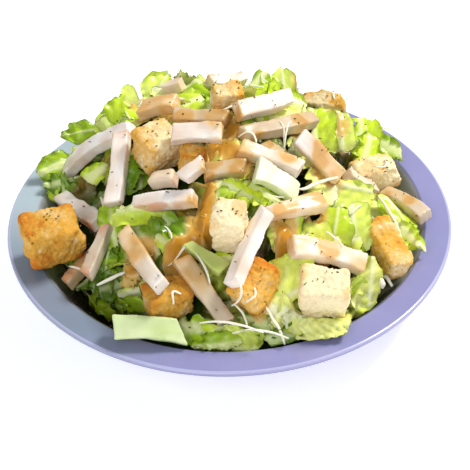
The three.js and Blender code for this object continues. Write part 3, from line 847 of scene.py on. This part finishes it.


# Leaves listed one by one, from the far side to the near one: kind, centre, turn, face, length, width and
# shape.
HAND_LAID = (
    ("mid", (-91, 60, 55), 188, 0.8, 32, 17, {"tip": "round", "rib_width": 1.0, "curl": 0.5, "blister": 1.3}),
    ("bright", (-69, 56, 68), 52, 0.75, 30, 19, {"rib": -0.9, "rib_width": 2}),
    ("pale", (-59, 58, 82), 105, 0.9, 14, 9, {"rib_width": 0, "blister": 0.3}),
    ("pale", (-42, 60, 83), 62, 0.8, 28, 23, {"tip": "round", "rib_width": 2, "cup": 0.6}),
    ("mid", (-18, 48, 94), 12, 0.7, 26, 17, {"rib": 0.8}),
    ("heart", (-36, 50, 87), -22, 0.8, 19, 11, {"rib": 0.7, "rib_width": 4, "cup": 1.0}),
    ("mid", (19, 56, 92), 38, 0.8, 18, 14, {"tip": "round"}),
    ("pale", (35, 60, 86), 92, 0.9, 23, 18, {"tip": "round", "rib_width": 2, "cup": 0.5}),
    ("bright", (38, 34, 90), 155, 0.6, 22, 15, {"tip": "round"}),
    ("mid", (-106, 36, 46), 200, 0.7, 28, 20, {"tip": "round", "ruffle": 2.6, "blister": 1.5}),
    ("dark", (-102, 22, 44), 190, 0.6, 24, 17, {"tip": "round", "ruffle": 2.6, "blister": 1.5}),
    ("dark", (-90, 8, 50), 175, 0.5, 26, 18, {"ruffle": 2.4, "blister": 1.4}),
    ("mid", (-82, -6, 53), 10, 0.5, 24, 16, {"ruffle": 2.0}),
    ("bright", (-77, 4, 64), 35, 0.6, 16, 11, {}),
    ("dark", (-49, -15, 79), 84, 0.6, 23, 21, {"blister": 0.5, "cup": 0.9, "rib_width": 1.2}),
    ("bright", (56, 18, 82), 98, 0.75, 26, 17, {"blister": 0.9, "rib": 0.8, "rib_width": 3}),
    ("pale", (68, 29, 71), 92, 0.7, 28, 17, {"blister": 0.8, "rib_width": 2}),
    ("bright", (84, 38, 58), 84, 0.75, 30, 20, {"ruffle": 2.0, "cup": 0.8, "rib": 0.4}),
    ("bright", (84, 28, 56), 70, 0.7, 26, 17, {"ruffle": 2.4, "cup": 0.8}),
    ("mid", (98, 46, 49), 152, 0.7, 27, 15, {"tip": "round", "ruffle": 2.8}),
    ("bright", (4, -45, 86), -28, 0.65, 30, 14, {"blister": 2.2, "veins": 6.0, "cup": 1.6, "ruffle": 2.2}),
    ("bright", (6, -31, 93), 62, 0.7, 20, 13, {"blister": 1.8, "veins": 6.0, "ruffle": 2.8, "cup": 0.9}),
    ("bright", (21, -47, 83), -24, 0.65, 23, 14, {"blister": 1.8, "veins": 6.0, "ruffle": 2.8}),
    ("pale", (66, -27, 67), -8, 0.6, 34, 20, {"blister": 0.5, "rib": 0.6, "rib_width": 2}),
    ("bright", (58, -53, 66), 78, 0.8, 22, 17, {"blister": 0.4, "rib_width": 1.2, "tone": -1}),
    ("pale", (73, -45, 58), 92, 0.8, 28, 14, {"blister": 0.4, "rib": 0.9}),
    ("mid", (91, 4, 43), -50, 0.5, 22, 14, {"blister": 1.4}),
    ("bright", (99, -20, 46), -58, 0.6, 32, 19, {"tip": "round", "ruffle": 2.4, "rib_width": 1.5}),
    ("bright", (102, -37, 44), -50, 0.5, 26, 14, {"tip": "round", "ruffle": 2.6}),
    ("bright", (-43, -46, 72), 4, 0.6, 44, 14, {"rib": 0.8, "rib_width": 3.5, "ruffle": 3.0, "cup": 0.9}),
    ("dark", (-28, -54, 66), 10, 0.5, 30, 18, {"ruffle": 2.4}),
    ("mid", (-65, -43, 57), 100, 0.7, 34, 14, {"curl": 0.9, "rib_width": 1.5}),
    (
        "dark", (-69, -61, 45), 82, 0.85, 28, 19,
        {"tip": "round", "blister": 0.6, "rib_width": 1.5, "cup": 0.7},
    ),
    ("dark", (-79, -60, 40), 200, 0.5, 24, 15, {"tip": "round", "ruffle": 2.8}),
    ("dark", (-60, -70, 43), 195, 0.5, 26, 16, {"ruffle": 2.0}),
    ("pale", (-50, -79, 43), 18, 0.7, 22, 14, {"rib": 0.3, "rib_width": 3, "blister": 0.6}),
    ("bright", (34, -60, 74), 74, 0.7, 24, 10, {"ruffle": 2.2}),
    ("pale", (25, -64, 73), 100, 0.7, 24, 9, {"ruffle": 2.2}),
    ("bright", (-6, -78, 68), 14, 0.7, 20, 13, {"ruffle": 2.6, "blister": 1.4}),
    ("pale", (28, -87, 57), 24, 0.8, 38, 24, {"blister": 0.5, "rib": -0.8, "rib_width": 3}),
    ("heart", (31, -100, 46), -12, 0.7, 26, 19, {"blister": 0.7}),
    ("heart", (47, -105, 42), 6, 0.75, 30, 15, {"rib_width": 0, "ruffle": 4.0, "blister": 2.2, "veins": 4.5}),
    (
        "heart", (73, -76, 45), 82, 0.85, 33, 18,
        {"tip": "round", "ruffle": 2.6, "rib": -0.4, "rib_width": 1.5},
    ),
    ("dark", (15, -103, 42), 160, 0.6, 24, 14, {"tip": "round", "ruffle": 3.0}),
    ("dark", (29, -107, 38), 20, 0.6, 24, 12, {"tip": "round", "ruffle": 3.0}),
    ("mid", (-9, -111, 38), 184, 0.7, 28, 11, {"tip": "round", "ruffle": 2.8, "rib": 0.6, "rib_width": 3}),
    ("mid", (-18, -105, 42), -20, 0.6, 22, 13, {"tip": "round", "ruffle": 3.0}),
)

rng = np.random.default_rng(7)
# The two deepest layers of leaves are painted darker, as shade.
fill_leaves(rng, 60, (0, 0.95), (-7, -3), 12, shade=0.36)
fill_leaves(rng, 60, (0.7, 1.0), (-5, 0), 14, shade=0.5)
fill_leaves(rng, 115, (0, 0.97), (-3, 2), 20)
fill_leaves(rng, 110, (0.1, 0.98), (0, 3), 30, lengths=(11, 20), widths=(9, 15), frill=1.4)
fill_leaves(rng, 110, (0.68, 1.0), (-3, 1), 20, lengths=(15, 25), widths=(12, 19), behind=34)
deep_rng = np.random.default_rng(77)
fill_leaves(deep_rng, 80, (0.6, 1.0), (-9, -5), 12, lengths=(15, 26), widths=(13, 20), behind=0)
for kind, at, turn, face, length, width, shape in HAND_LAID:
    place_leaf(rng, kind, at, turn, face, length, width, **shape)

for name, gather in leaf_groups.items():
    gather.make("romaine_leaves_" + name, LEAF, "romaine", ["romaine_heap"])


# ---- toppings from their CAD solids ----
def remeshed(name, voxel, rounds):
    """The CAD node's shape as a fine, even mesh, rounded off a little: points, normals and quads."""
    copy = bpy.data.objects.new("scratch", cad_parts[name].data.copy())
    bpy.context.scene.collection.objects.link(copy)
    remesh = copy.modifiers.new("remesh", "REMESH")
    remesh.mode = "VOXEL"
    remesh.voxel_size = voxel * MM
    smooth = copy.modifiers.new("smooth", "SMOOTH")
    smooth.factor = 0.5
    smooth.iterations = rounds
    mesh = bpy.data.meshes.new_from_object(copy.evaluated_get(bpy.context.evaluated_depsgraph_get()))
    verts = read_vectors(mesh.vertices, "co") / MM
    normals = read_vectors(mesh.vertex_normals, "vector")
    faces = np.array([p.vertices[:] for p in mesh.polygons if len(p.vertices) == 4])
    bpy.data.objects.remove(copy)
    bpy.data.meshes.remove(mesh)
    return largest_part(verts, normals, faces)


def read_vectors(items, attribute):
    values = np.empty(len(items) * 3, np.float32)
    items.foreach_get(attribute, values)
    return values.reshape(-1, 3).astype(float)


def largest_part(verts, normals, faces):
    """The largest of a mesh's loose parts: a remesh can leave a crumb beside a thin corner."""
    part = np.arange(len(verts))
    while True:
        joined = part.copy()
        np.minimum.at(joined, faces.ravel(), np.repeat(part[faces].min(1), faces.shape[1]))
        joined = joined[joined]
        if (joined == part).all():
            break
        part = joined
    kept = part == np.bincount(part).argmax()
    number = np.cumsum(kept) - 1
    return verts[kept], normals[kept], number[faces[kept[faces[:, 0]]]]


def local_points(name, verts):
    """Points in a node's own axes and from its centre: along its length, across it and up."""
    corners = node_mesh(name)[0]
    centre = corners.mean(0)
    vectors = np.linalg.eigh(np.cov((corners - centre).T))[1]
    along = vectors[:, 2] if vectors[0, 2] >= 0 else -vectors[:, 2]
    up = vectors[:, 0] if vectors[2, 0] > 0 else -vectors[:, 0]
    return np.stack([(verts - centre) @ axis for axis in (along, np.cross(up, along), up)], -1)


# Strips whose cut faces are white, by number. Strips with more dressing: how much, and towards which end, 1
# for the right one, -1 for the left one and 0 for all over.
WHITE_STRIPS = (1, 2, 3, 4, 6, 8, 10, 13, 14, 16, 17, 18, 20, 23, 25, 28)
COATED_STRIPS = {
    5: (0.5, 0), 7: (0.3, 0), 9: (1.0, 1), 11: (0.9, 0), 12: (0.7, 0), 13: (1.0, 1), 15: (0.9, 0),
    16: (0.8, 1), 18: (0.9, -1), 19: (0.9, -1), 20: (0.7, 0), 21: (0.8, -1), 24: (0.5, 0), 26: (1.0, 0),
}
# What is darkened turns warmer: powers for red, green and blue.
WARM = np.array([0.9, 1.0, 1.35])
# How light the darker strips are beside the others.
DARKER_STRIPS = {3: 0.9, 4: 0.7, 5: 0.72, 9: 0.78, 11: 0.75, 12: 0.7, 15: 0.7, 18: 0.85, 19: 0.68, 21: 0.78}


def make_chicken():
    gather = Gather()
    shade = srgb(216, 188, 160)
    skin = srgb(216, 140, 84)
    for index, name in enumerate(CHICKEN_NODES):
        verts, normals, faces = remeshed(name, 0.8, 1)
        local = local_points(name, verts)
        fibre = noise(local * np.array([0.25, 1, 1]), 1.6, index)
        dent = noise(local, 7, index + 40)
        verts = verts + normals * (0.1 * fibre + 0.5 * dent)[:, None]
        reach = np.abs(local).max(0)
        edge_side = np.sign(math.sin(index * 2.1 + 0.7))
        rind = smoothstep(0.72, 0.95, edge_side * local[:, 1] / reach[1] + 0.12 * noise(local, 4, index + 9))
        end_skin = smoothstep(0.86, 0.97, np.sign(math.sin(index * 1.3)) * local[:, 0] / reach[0])
        face = srgb(254, 248, 242) if index + 1 in WHITE_STRIPS else srgb(238, 224, 206)
        colour = mix(face, shade, (0.4 + 0.5 * noise(local, 9, index + 3)).clip(0, 1)[:, None])
        colour = mix(colour, skin, (0.65 * rind + 0.4 * end_skin * (index % 3 < 2))[:, None].clip(0, 1))
        smear = smoothstep(0.0, 0.9, noise(verts, 15, 81) + 0.35 * noise(verts, 5, 82))
        amount, end = COATED_STRIPS.get(index + 1, (0, 0))
        coat = amount * smoothstep(-0.6, 0.5, noise(verts, 9, 83) + 0.2 + 2.2 * end * local[:, 0] / reach[0])
        wet = np.maximum(np.maximum(dressing_at(verts), 0.35 * smear), coat)
        wet = wet * smoothstep(-0.9, 0.1, normals[:, 2])
        colour = dress(colour, (wet * (0.85 + 0.35 * noise(local, 5, index + 70))).clip(0, 1), 0.85)
        colour = colour * DARKER_STRIPS.get(index + 1, 1) ** WARM
        verts = verts + normals * (0.4 * wet)[:, None]
        gather.add(verts, faces, colour, uv=local[:, :2] + 50 * index, wet=wet)
    gather.make("chicken_strips", CHICKEN, "chicken", CHICKEN_NODES)


# How browned croutons are, and how light the darker ones are beside the others.
TOASTED = {1: 0.66, 2: 0.42, 3: 0.5, 4: 0.16, 5: 0.74, 6: 0.72, 7: 0.12, 8: 0.52, 9: 0.27, 10: 0.34, 11: 0.35}
DARKER_CROUTONS = {1: 0.86, 2: 0.9, 3: 0.9, 6: 0.74, 10: 0.75}
# Croutons made squarer: the bearing of the long side, how much squarer, and how far stretched along each way.
SQUARED = {6: (22, 0.4, (1.05, 1.0, 1.0))}


def squared(local, bearing, strength, stretch):
    """Points moved from a rounded lump out to the box about it."""
    a = math.radians(bearing)
    axes = np.array([[math.cos(a), math.sin(a), 0], [-math.sin(a), math.cos(a), 0], [0, 0, 1.0]])
    own = local @ axes.T
    share = np.abs(own) / np.abs(own).max(0)
    out = ((share**2).sum(1) ** 0.5 / (share**8).sum(1) ** 0.125) ** strength
    out = np.minimum(out, 1.25)
    return (own * out[:, None] * stretch) @ axes


def make_croutons():
    gather = Gather()
    crumb = srgb(250, 232, 190)
    gold = srgb(230, 176, 74)
    brown = srgb(210, 118, 36)
    for index, name in enumerate(CROUTON_NODES):
        smallest = np.ptp(node_mesh(name)[0], 0).min()
        verts, normals, faces = remeshed(name, 0.7, max(2, int(1.1 * smallest - 13.5)))
        toast = TOASTED.get(index + 1, 0.4)
        centre = verts.mean(0)
        local = verts - centre
        if index + 1 in SQUARED:
            verts = centre + squared(local, *SQUARED[index + 1])
        pore = smoothstep(0.42, 0.15, cells(verts, 3.6, index))
        pore = pore + 0.5 * smoothstep(0.42, 0.15, cells(verts, 2.0, index + 5))
        crumb_at = smoothstep(0.75, 0.2, cells(verts, 2.3, index + 31))
        rough = 1.5 * noise(verts, 8, index + 2) + 0.7 * noise(verts, 3.6, index + 7) + 0.5 * crumb_at
        verts = verts + normals * (0.7 + rough - 0.7 * pore)[:, None]
        away = np.linalg.norm(local / np.abs(local).max(0), axis=1)
        browned = 0.55 * noise(local, 9, index + 60) + 0.25 * noise(local, 3, index + 61)
        browned = browned + 0.1 * noise(local, 1.4, index + 62)
        browned = browned + 0.6 * smoothstep(0.95, 1.35, away) + 2.3 * (toast - 0.45)
        browned = browned - 0.3 * pore - 0.15 * crumb_at
        colour = mix(crumb, gold, smoothstep(-0.7, 0.5, browned)[:, None])
        colour = mix(colour, brown, smoothstep(0.3, 1.4, browned)[:, None])
        colour = dress(colour, dressing_at(verts) * smoothstep(0.2, 0.6, normals[:, 2]), 0.5)
        gather.add(verts, faces, colour * DARKER_CROUTONS.get(index + 1, 1) ** WARM)
    gather.make("croutons", BREAD, "crouton", CROUTON_NODES)


# The darker and the lighter colour of each piece of rib, by number.
RIB_COLOURS = {
    1: (srgb(196, 214, 148), srgb(222, 232, 184)),
    2: (srgb(222, 232, 188), srgb(242, 244, 218)),
    3: (srgb(180, 194, 98), srgb(208, 216, 136)),
}


def make_ribs():
    gather = Gather()
    for index, name in enumerate(RIB_NODES):
        verts, normals, faces = remeshed(name, 0.85, 3)
        local = local_points(name, verts)
        ridge = noise(local * np.array([0.06, 1, 0.3]), 2.2, index)
        verts = verts + normals * (0.25 * ridge + 0.5 * noise(local, 9, index))[:, None]
        colour = mix(*RIB_COLOURS[index + 1], (0.5 + 0.5 * noise(local, 10, index + 8))[:, None])
        colour = mix(colour, srgb(186, 208, 110), 0.3 * smoothstep(-0.2, 0.9, ridge)[:, None])
        gather.add(verts, faces, colour, uv=local[:, :2] + 40 * index)
    gather.make("romaine_ribs", RIB, "rib", RIB_NODES)


make_chicken()
make_croutons()
make_ribs()


# ---- small things that lie on top: cheese shreds, dressing and herbs ----
def spread(grid, reach, highest):
    """Each cell takes the highest, or the mean, of the cells in a round patch about it."""
    layers = [moved for away, moved in shifts(grid, reach) if away < reach + 0.42]
    return np.max(layers, 0) if highest else np.mean(layers, 0)


def top_map(names):
    """Height of the topmost surface of the named pieces, or of the bowl."""
    radius = np.hypot(GRID_X, GRID_Y)
    top = np.where(radius > RIM_RADIUS - 1, 0, well_height(radius))
    for piece in [o for o in bpy.data.objects if o.type == "MESH" and o.name.startswith(names)]:
        verts = read_vectors(piece.data.vertices, "co") / MM
        i, j = np.clip(np.round(verts[:, :2]).astype(int) + GRID_HALF, 0, 2 * GRID_HALF).T
        np.maximum.at(top, (i, j), verts[:, 2])
    return spread(top, 1, highest=True)


def leaf_top_map():
    """Height of the leaves, and of the core where no leaf lies over it."""
    top = top_map(("romaine_leaves",))
    on_core = np.hypot(GRID_X, GRID_Y) < heap_edge(np.arctan2(GRID_Y, GRID_X)) - CORE_INSET
    return np.where(on_core, np.maximum(top, core_top(GRID_X.astype(float), GRID_Y.astype(float))), top)


TOPPINGS = ("chicken_strips", "croutons")
TOP = top_map(TOPPINGS + ("romaine_leaves", "romaine_ribs"))
TOPPING_TOP = top_map(TOPPINGS)
BREAD_TOP = top_map(("croutons",))
LEAF_TOP = leaf_top_map()
SOFT = spread(TOP, 2, highest=False)


def arc(start, end, bow, count):
    """Plan points from start to end that bow to the left of the way by bow millimetres."""
    start, end = np.array(start, float), np.array(end, float)
    t = np.linspace(0, 1, count)[:, None]
    way = end - start
    side = np.array([-way[1], way[0]]) / (np.linalg.norm(way) + 1e-9)
    return start + way * t + side * (bow * 4 * t * (1 - t))


# How far a shred lies above what is under it, the most that a limp one may hang above it, and its waviness.
STRAND_LIFT = 0.1
STRAND_HANG = 3
STRAND_WAVE = 0.3
# The thickness of a shred, as a share of its width, and the width of its ends, as a share of its middle's.
STRAND_FLATNESS = 0.8
STRAND_TAPER = 0.35


def strand(path, width, colour, surface, seed, steepest=None):
    """A tube of oval section along plan points, lying on a surface; steepest is the slope of a stiff one."""
    count = len(path)
    t = np.linspace(0, 1, count)
    under = sample(surface, path[:, 0], path[:, 1]) + STRAND_LIFT
    z = under.copy()
    for _ in range(3 * count):
        z[1:-1] = np.maximum(under[1:-1], 0.5 * (z[:-2] + z[2:]))
    if steepest is None:
        z = np.minimum(z, under + STRAND_HANG)
    else:
        fall = steepest * math.dist(path[0], path[-1]) / (count - 1)
        for i in range(1, count):
            z[i] = max(z[i], z[i - 1] - fall)
        for i in range(count - 2, -1, -1):
            z[i] = max(z[i], z[i + 1] - fall)
    for _ in range(6):
        z[1:-1] = 0.5 * z[1:-1] + 0.25 * (z[:-2] + z[2:])
    line = np.column_stack([path, z])
    place = flat(t * 30, seed)
    line = line + STRAND_WAVE * np.column_stack([noise(place, 6, 1), noise(place, 6, 2), 0 * t])
    along = np.gradient(line, axis=0)
    along /= np.linalg.norm(along, axis=1, keepdims=True) + 1e-9
    side = np.cross([0, 0, 1.0], along)
    side /= np.linalg.norm(side, axis=1, keepdims=True) + 1e-9
    over = np.cross(along, side)
    turn = np.arange(8)[None, :, None] * math.pi / 4
    swell = STRAND_TAPER + (1 - STRAND_TAPER) * np.sin(math.pi * np.clip(t, 0.02, 0.98)) ** 0.4
    swell = swell * (1 + 0.15 * noise(place, 3, 3))
    height = STRAND_FLATNESS * width
    ring = side[:, None] * (np.cos(turn) * width / 2) + over[:, None] * (np.sin(turn) * height / 2)
    verts = (line[:, None] + ring * swell[:, None, None]).reshape(-1, 3)
    caps = np.array([[0, 1, 2, 3], [0, 3, 4, 7], [7, 4, 5, 6]])
    quads = [grid_faces(count, 8, wrap=True), caps, caps[:, ::-1] + 8 * (count - 1)]
    return verts, np.concatenate([q[:, ::-1] for q in quads]), np.tile(colour, (8 * count, 1))


# Shreds of cheese, listed one by one: start, end, how far they bow, width.
SHREDS = (
    ((-34, -75), (-20, -72), -4, 1.4), ((-35, -60), (-31, -68), 1, 1.1), ((-18, -81), (-11, -93), 1, 1.3),
    ((18, -103), (27, -114), 1, 1.7),
    ((-30, -101), (-26, -97), 3, 1.5), ((0, -104), (3, -99), -4, 1.4), ((7, -105), (12, -99), -3, 1.3),
    ((1, -104), (8, -109), 1, 1.4), ((81, -63), (89, -71), 0, 2.4), ((81, -77), (82.5, -78), 0, 3.8),
    ((87, -13), (98, -43), 2, 2.4), ((6, -11), (16, -19), 5, 1.3),
    ((32, -10), (37, 5), 1, 1.2), ((-2, 8), (3, 17), -3, 1.3), ((30, 2), (32, -7), 1, 1.2),
    ((-75, -8), (-73, -21), 1, 1.8), ((68, -42), (84, -27), 1, 1.5), ((39, -40), (61, -28), 2, 2.4),
    ((52, -60), (60, -70), 2, 1.2),
)

# Stiff shreds: start, end, how far they bow, width, steepest slope, and whether they lie under the toppings.
STIFF_SHREDS = (
    ((-91, -51), (-76, -66), 1, 1.8, 0.3, True), ((-73, -73), (-57, -72), 0, 2.4, 0.55, True),
    ((-17, -109), (16, -115), 2, 1.5, 0.15, False), ((0, -112), (29, -114), 3, 1.5, 0.15, False),
    ((92, 60), (95, 50), 1, 1.3, 0.4, False), ((93, 51), (104, 50), 1, 1.3, 0.15, False),
)


# Scattered shreds: how many are tried, and how far out they start and end.
SHRED_TRIES = 46
SHRED_START = 100
SHRED_END = 108


def make_cheese():
    """Listed shreds, and scattered ones where the surface is level enough to carry them."""
    gather = Gather()
    dice = np.random.default_rng(21)
    laid = list(SHREDS)
    for _ in range(SHRED_TRIES):
        reach, angle = SHRED_START * math.sqrt(dice.random()), dice.uniform(0, 2 * math.pi)
        way = dice.uniform(0, 2 * math.pi)
        length = dice.uniform(7, 17)
        x, y = reach * math.cos(angle), reach * math.sin(angle)
        end = (x + length * math.cos(way), y + length * math.sin(way))
        under = sample(SOFT, np.linspace(x, end[0], 9), np.linspace(y, end[1], 9))
        if np.ptp(under) < 0.25 * length + 0.5 and math.hypot(*end) < SHRED_END:
            laid.append(((x, y), end, dice.normal(0, 2.5), dice.uniform(0.9, 1.4)))
    for index, (start, end, bow, width) in enumerate(laid):
        colour = mix(srgb(250, 246, 228), srgb(244, 236, 206), dice.random())
        gather.add(*strand(arc(start, end, bow, 14), width, colour, SOFT, index))
    for index, (start, end, bow, width, steepest, under) in enumerate(STIFF_SHREDS):
        surface = LEAF_TOP if under else SOFT
        gather.add(*strand(arc(start, end, bow, 14), width, srgb(248, 243, 222), surface, index, steepest))
    gather.make("cheese_shreds", CHEESE, None)


def closed_sheet(top, thickness, used):
    """A closed sheet over the used cells of a grid of points: verts, quads and which points were kept.

    Cells that meet at a corner alone are joined, so that no point is shared by two parts of the rim.
    """
    filled = used.copy()
    while True:
        here, right, below, across = filled[:-1, :-1], filled[:-1, 1:], filled[1:, :-1], filled[1:, 1:]
        corner = (here & across & ~right & ~below) | (right & below & ~here & ~across)
        if not corner.any():
            break
        filled[:-1, :-1] |= corner
        filled[:-1, 1:] |= corner
        filled[1:, :-1] |= corner
        filled[1:, 1:] |= corner
    columns = top.shape[1]
    i, j = np.nonzero(filled)
    a = i * columns + j
    quads = np.stack([a, a + columns, a + columns + 1, a + 1], -1)
    kept, quads = np.unique(quads, return_inverse=True)
    quads = quads.reshape(-1, 4)
    edges = np.concatenate([quads[:, [k, (k + 1) % 4]] for k in range(4)])
    single = {tuple(e) for e in edges.tolist()}
    rim = np.array([e for e in edges.tolist() if (e[1], e[0]) not in single])
    count = len(kept)
    upper = top.reshape(-1, 3)[kept]
    lower = upper - [0, 0, thickness]
    walls = np.stack([rim[:, 1], rim[:, 0], rim[:, 0] + count, rim[:, 1] + count], -1)
    return np.concatenate([upper, lower]), np.concatenate([quads, quads[:, ::-1] + count, walls]), kept


# The sheet of dressing: how far out it is looked for, its step, its thickness, how far it sinks between the
# leaves, and the flow at its edge.
SHEET_REACH = 112
SHEET_STEP = 0.9
SHEET_THICKNESS = 2.4
SHEET_SINK = 1.1
SHEET_EDGE = -0.14


def make_dressing():
    """Dressing fills the hollows along its flow to a soft level, and sinks away at its edges."""
    line = np.arange(-SHEET_REACH, SHEET_REACH, SHEET_STEP)
    x, y = np.meshgrid(line, line, indexing="ij")
    plan = flat(x, y)
    field = pour_at(plan)
    wrinkle = 2.2 * (0.35 - np.abs(noise(plan, 5, 91))) + 0.5 * noise(plan, 2.6, 92)
    z = sample(spread(LEAF_TOP, 2, highest=False), x, y) - SHEET_SINK + wrinkle
    z = z + 1.3 * smoothstep(0, 0.6, field) - 2.5 * smoothstep(0.1, SHEET_EDGE, field)
    wet = field > SHEET_EDGE
    used = wet[:-1, :-1] & wet[1:, :-1] & wet[:-1, 1:] & wet[1:, 1:]
    verts, faces, kept = closed_sheet(flat(x, y, z), SHEET_THICKNESS, used)
    thick = field.reshape(-1)[kept] + 0.2 * noise(plan.reshape(-1, 3)[kept], 5, 77)
    paint = mix(srgb(244, 204, 112), srgb(228, 166, 56), smoothstep(0.1, 0.9, thick)[:, None])
    make_piece("dressing_pools", verts, [faces], SAUCE, None, np.vstack([paint, paint]))


# Flecks: how many are tried, how far out they lie, and the share kept on bread, other toppings and the rest.
FLECK_TRIES = 700
FLECK_REACH = 112
FLECK_SHARES = (1.0, 0.4, 0.1)
FLECK_HALF_THICKNESS = 0.2


def make_herbs():
    """Flecks of dried herb and pepper, most of them on the bread and the chicken."""
    gather = Gather()
    dice = np.random.default_rng(3)
    ring = np.arange(6) * math.pi / 3
    sides = [[i, i + 6, (i + 1) % 6 + 6, (i + 1) % 6] for i in range(6)]
    faces = np.array([[0, 1, 2, 3], [0, 3, 4, 5], [9, 8, 7, 6], [11, 10, 9, 6]] + sides)
    for _ in range(FLECK_TRIES):
        reach, angle = FLECK_REACH * math.sqrt(dice.random()), dice.uniform(0, 2 * math.pi)
        x, y = reach * math.cos(angle), reach * math.sin(angle)
        place = np.array(x), np.array(y)
        z, topping, bread = (float(sample(grid, *place)) for grid in (TOP, TOPPING_TOP, BREAD_TOP))
        if dice.random() > FLECK_SHARES[0 if bread > z - 0.5 else 1 if topping > z - 0.5 else 2]:
            continue
        turn = dice.uniform(0, math.pi)
        long, wide = dice.uniform(0.35, 0.9), dice.uniform(0.2, 0.4)
        across = np.stack([long * np.cos(ring), wide * np.sin(ring)], -1)
        spin = np.array([[math.cos(turn), -math.sin(turn)], [math.sin(turn), math.cos(turn)]])
        plan = across @ spin.T + [x, y]
        colour = mix(srgb(112, 106, 40), srgb(84, 56, 26), dice.random())
        levels = z + FLECK_HALF_THICKNESS, z - FLECK_HALF_THICKNESS
        verts = np.vstack([np.column_stack([plan, np.full(6, level)]) for level in levels])
        gather.add(verts, faces, np.tile(colour, (12, 1)))
    gather.make("herb_flecks", HERB, None)


make_cheese()
make_dressing()
make_herbs()

# ---- floor, light and camera ----
bpy.ops.mesh.primitive_plane_add(size=8)
floor = bpy.context.active_object
floor.name = "floor"
floor_look = {
    "Base Color": (0.92, 0.92, 0.92, 1), "Roughness": 0.9,
    "Emission Color": (1, 1, 1, 1), "Emission Strength": 0.5,
}
floor.data.materials.append(plain("floor_white", floor_look)[0])

scene = bpy.context.scene
scene.view_settings.view_transform = "Standard"
world = bpy.data.worlds.new("studio")
scene.world = world
world.use_nodes = True
sky = world.node_tree.nodes["Background"]
fill_inputs(world.node_tree, sky, {"Color": (0.96, 0.98, 1.0, 1), "Strength": 0.33})


def area_light(name, place, size, watts, colour):
    light = bpy.data.lights.new(name, "AREA")
    light.energy = watts
    light.size = size
    light.color = colour
    lamp = bpy.data.objects.new(name, light)
    lamp.location = place
    lamp.rotation_euler = (Vector((0, 0, 0.05)) - Vector(place)).to_track_quat("-Z", "Y").to_euler()
    scene.collection.objects.link(lamp)


area_light("key", (0.7, 0.35, 1.1), 0.35, 18, (1.0, 0.98, 0.94))
area_light("fill", (-0.35, -0.9, 0.8), 0.8, 5.8, (0.97, 0.98, 1.0))

# The camera stands off the middle of the rim by this many metres, and aims a little in front of it.
DISTANCE = 0.65
ROLL = math.radians(-1.3)
AIM = Vector((0.003, -0.023, RIM_HEIGHT * MM))
# The lens, in millimetres.
SENSOR_WIDTH = 36
FOCAL_LENGTH = 82.6
eye = Vector((0, -math.cos(ELEVATION), math.sin(ELEVATION))) * DISTANCE + Vector((0, 0, RIM_HEIGHT * MM))
ahead = (AIM - eye).normalized()
right = ahead.cross(Vector((0, 0, 1))).normalized()
above = right.cross(ahead)
turned_right = math.cos(ROLL) * right + math.sin(ROLL) * above
turned_above = -math.sin(ROLL) * right + math.cos(ROLL) * above
lens = bpy.data.cameras.new("camera")
lens.sensor_width = SENSOR_WIDTH
lens.lens = FOCAL_LENGTH
camera = bpy.data.objects.new("camera", lens)
turned = Matrix((turned_right, turned_above, -ahead)).transposed()
camera.matrix_world = Matrix.Translation(eye) @ turned.to_4x4()
scene.collection.objects.link(camera)
scene.camera = camera

bpy.context.view_layer.update()
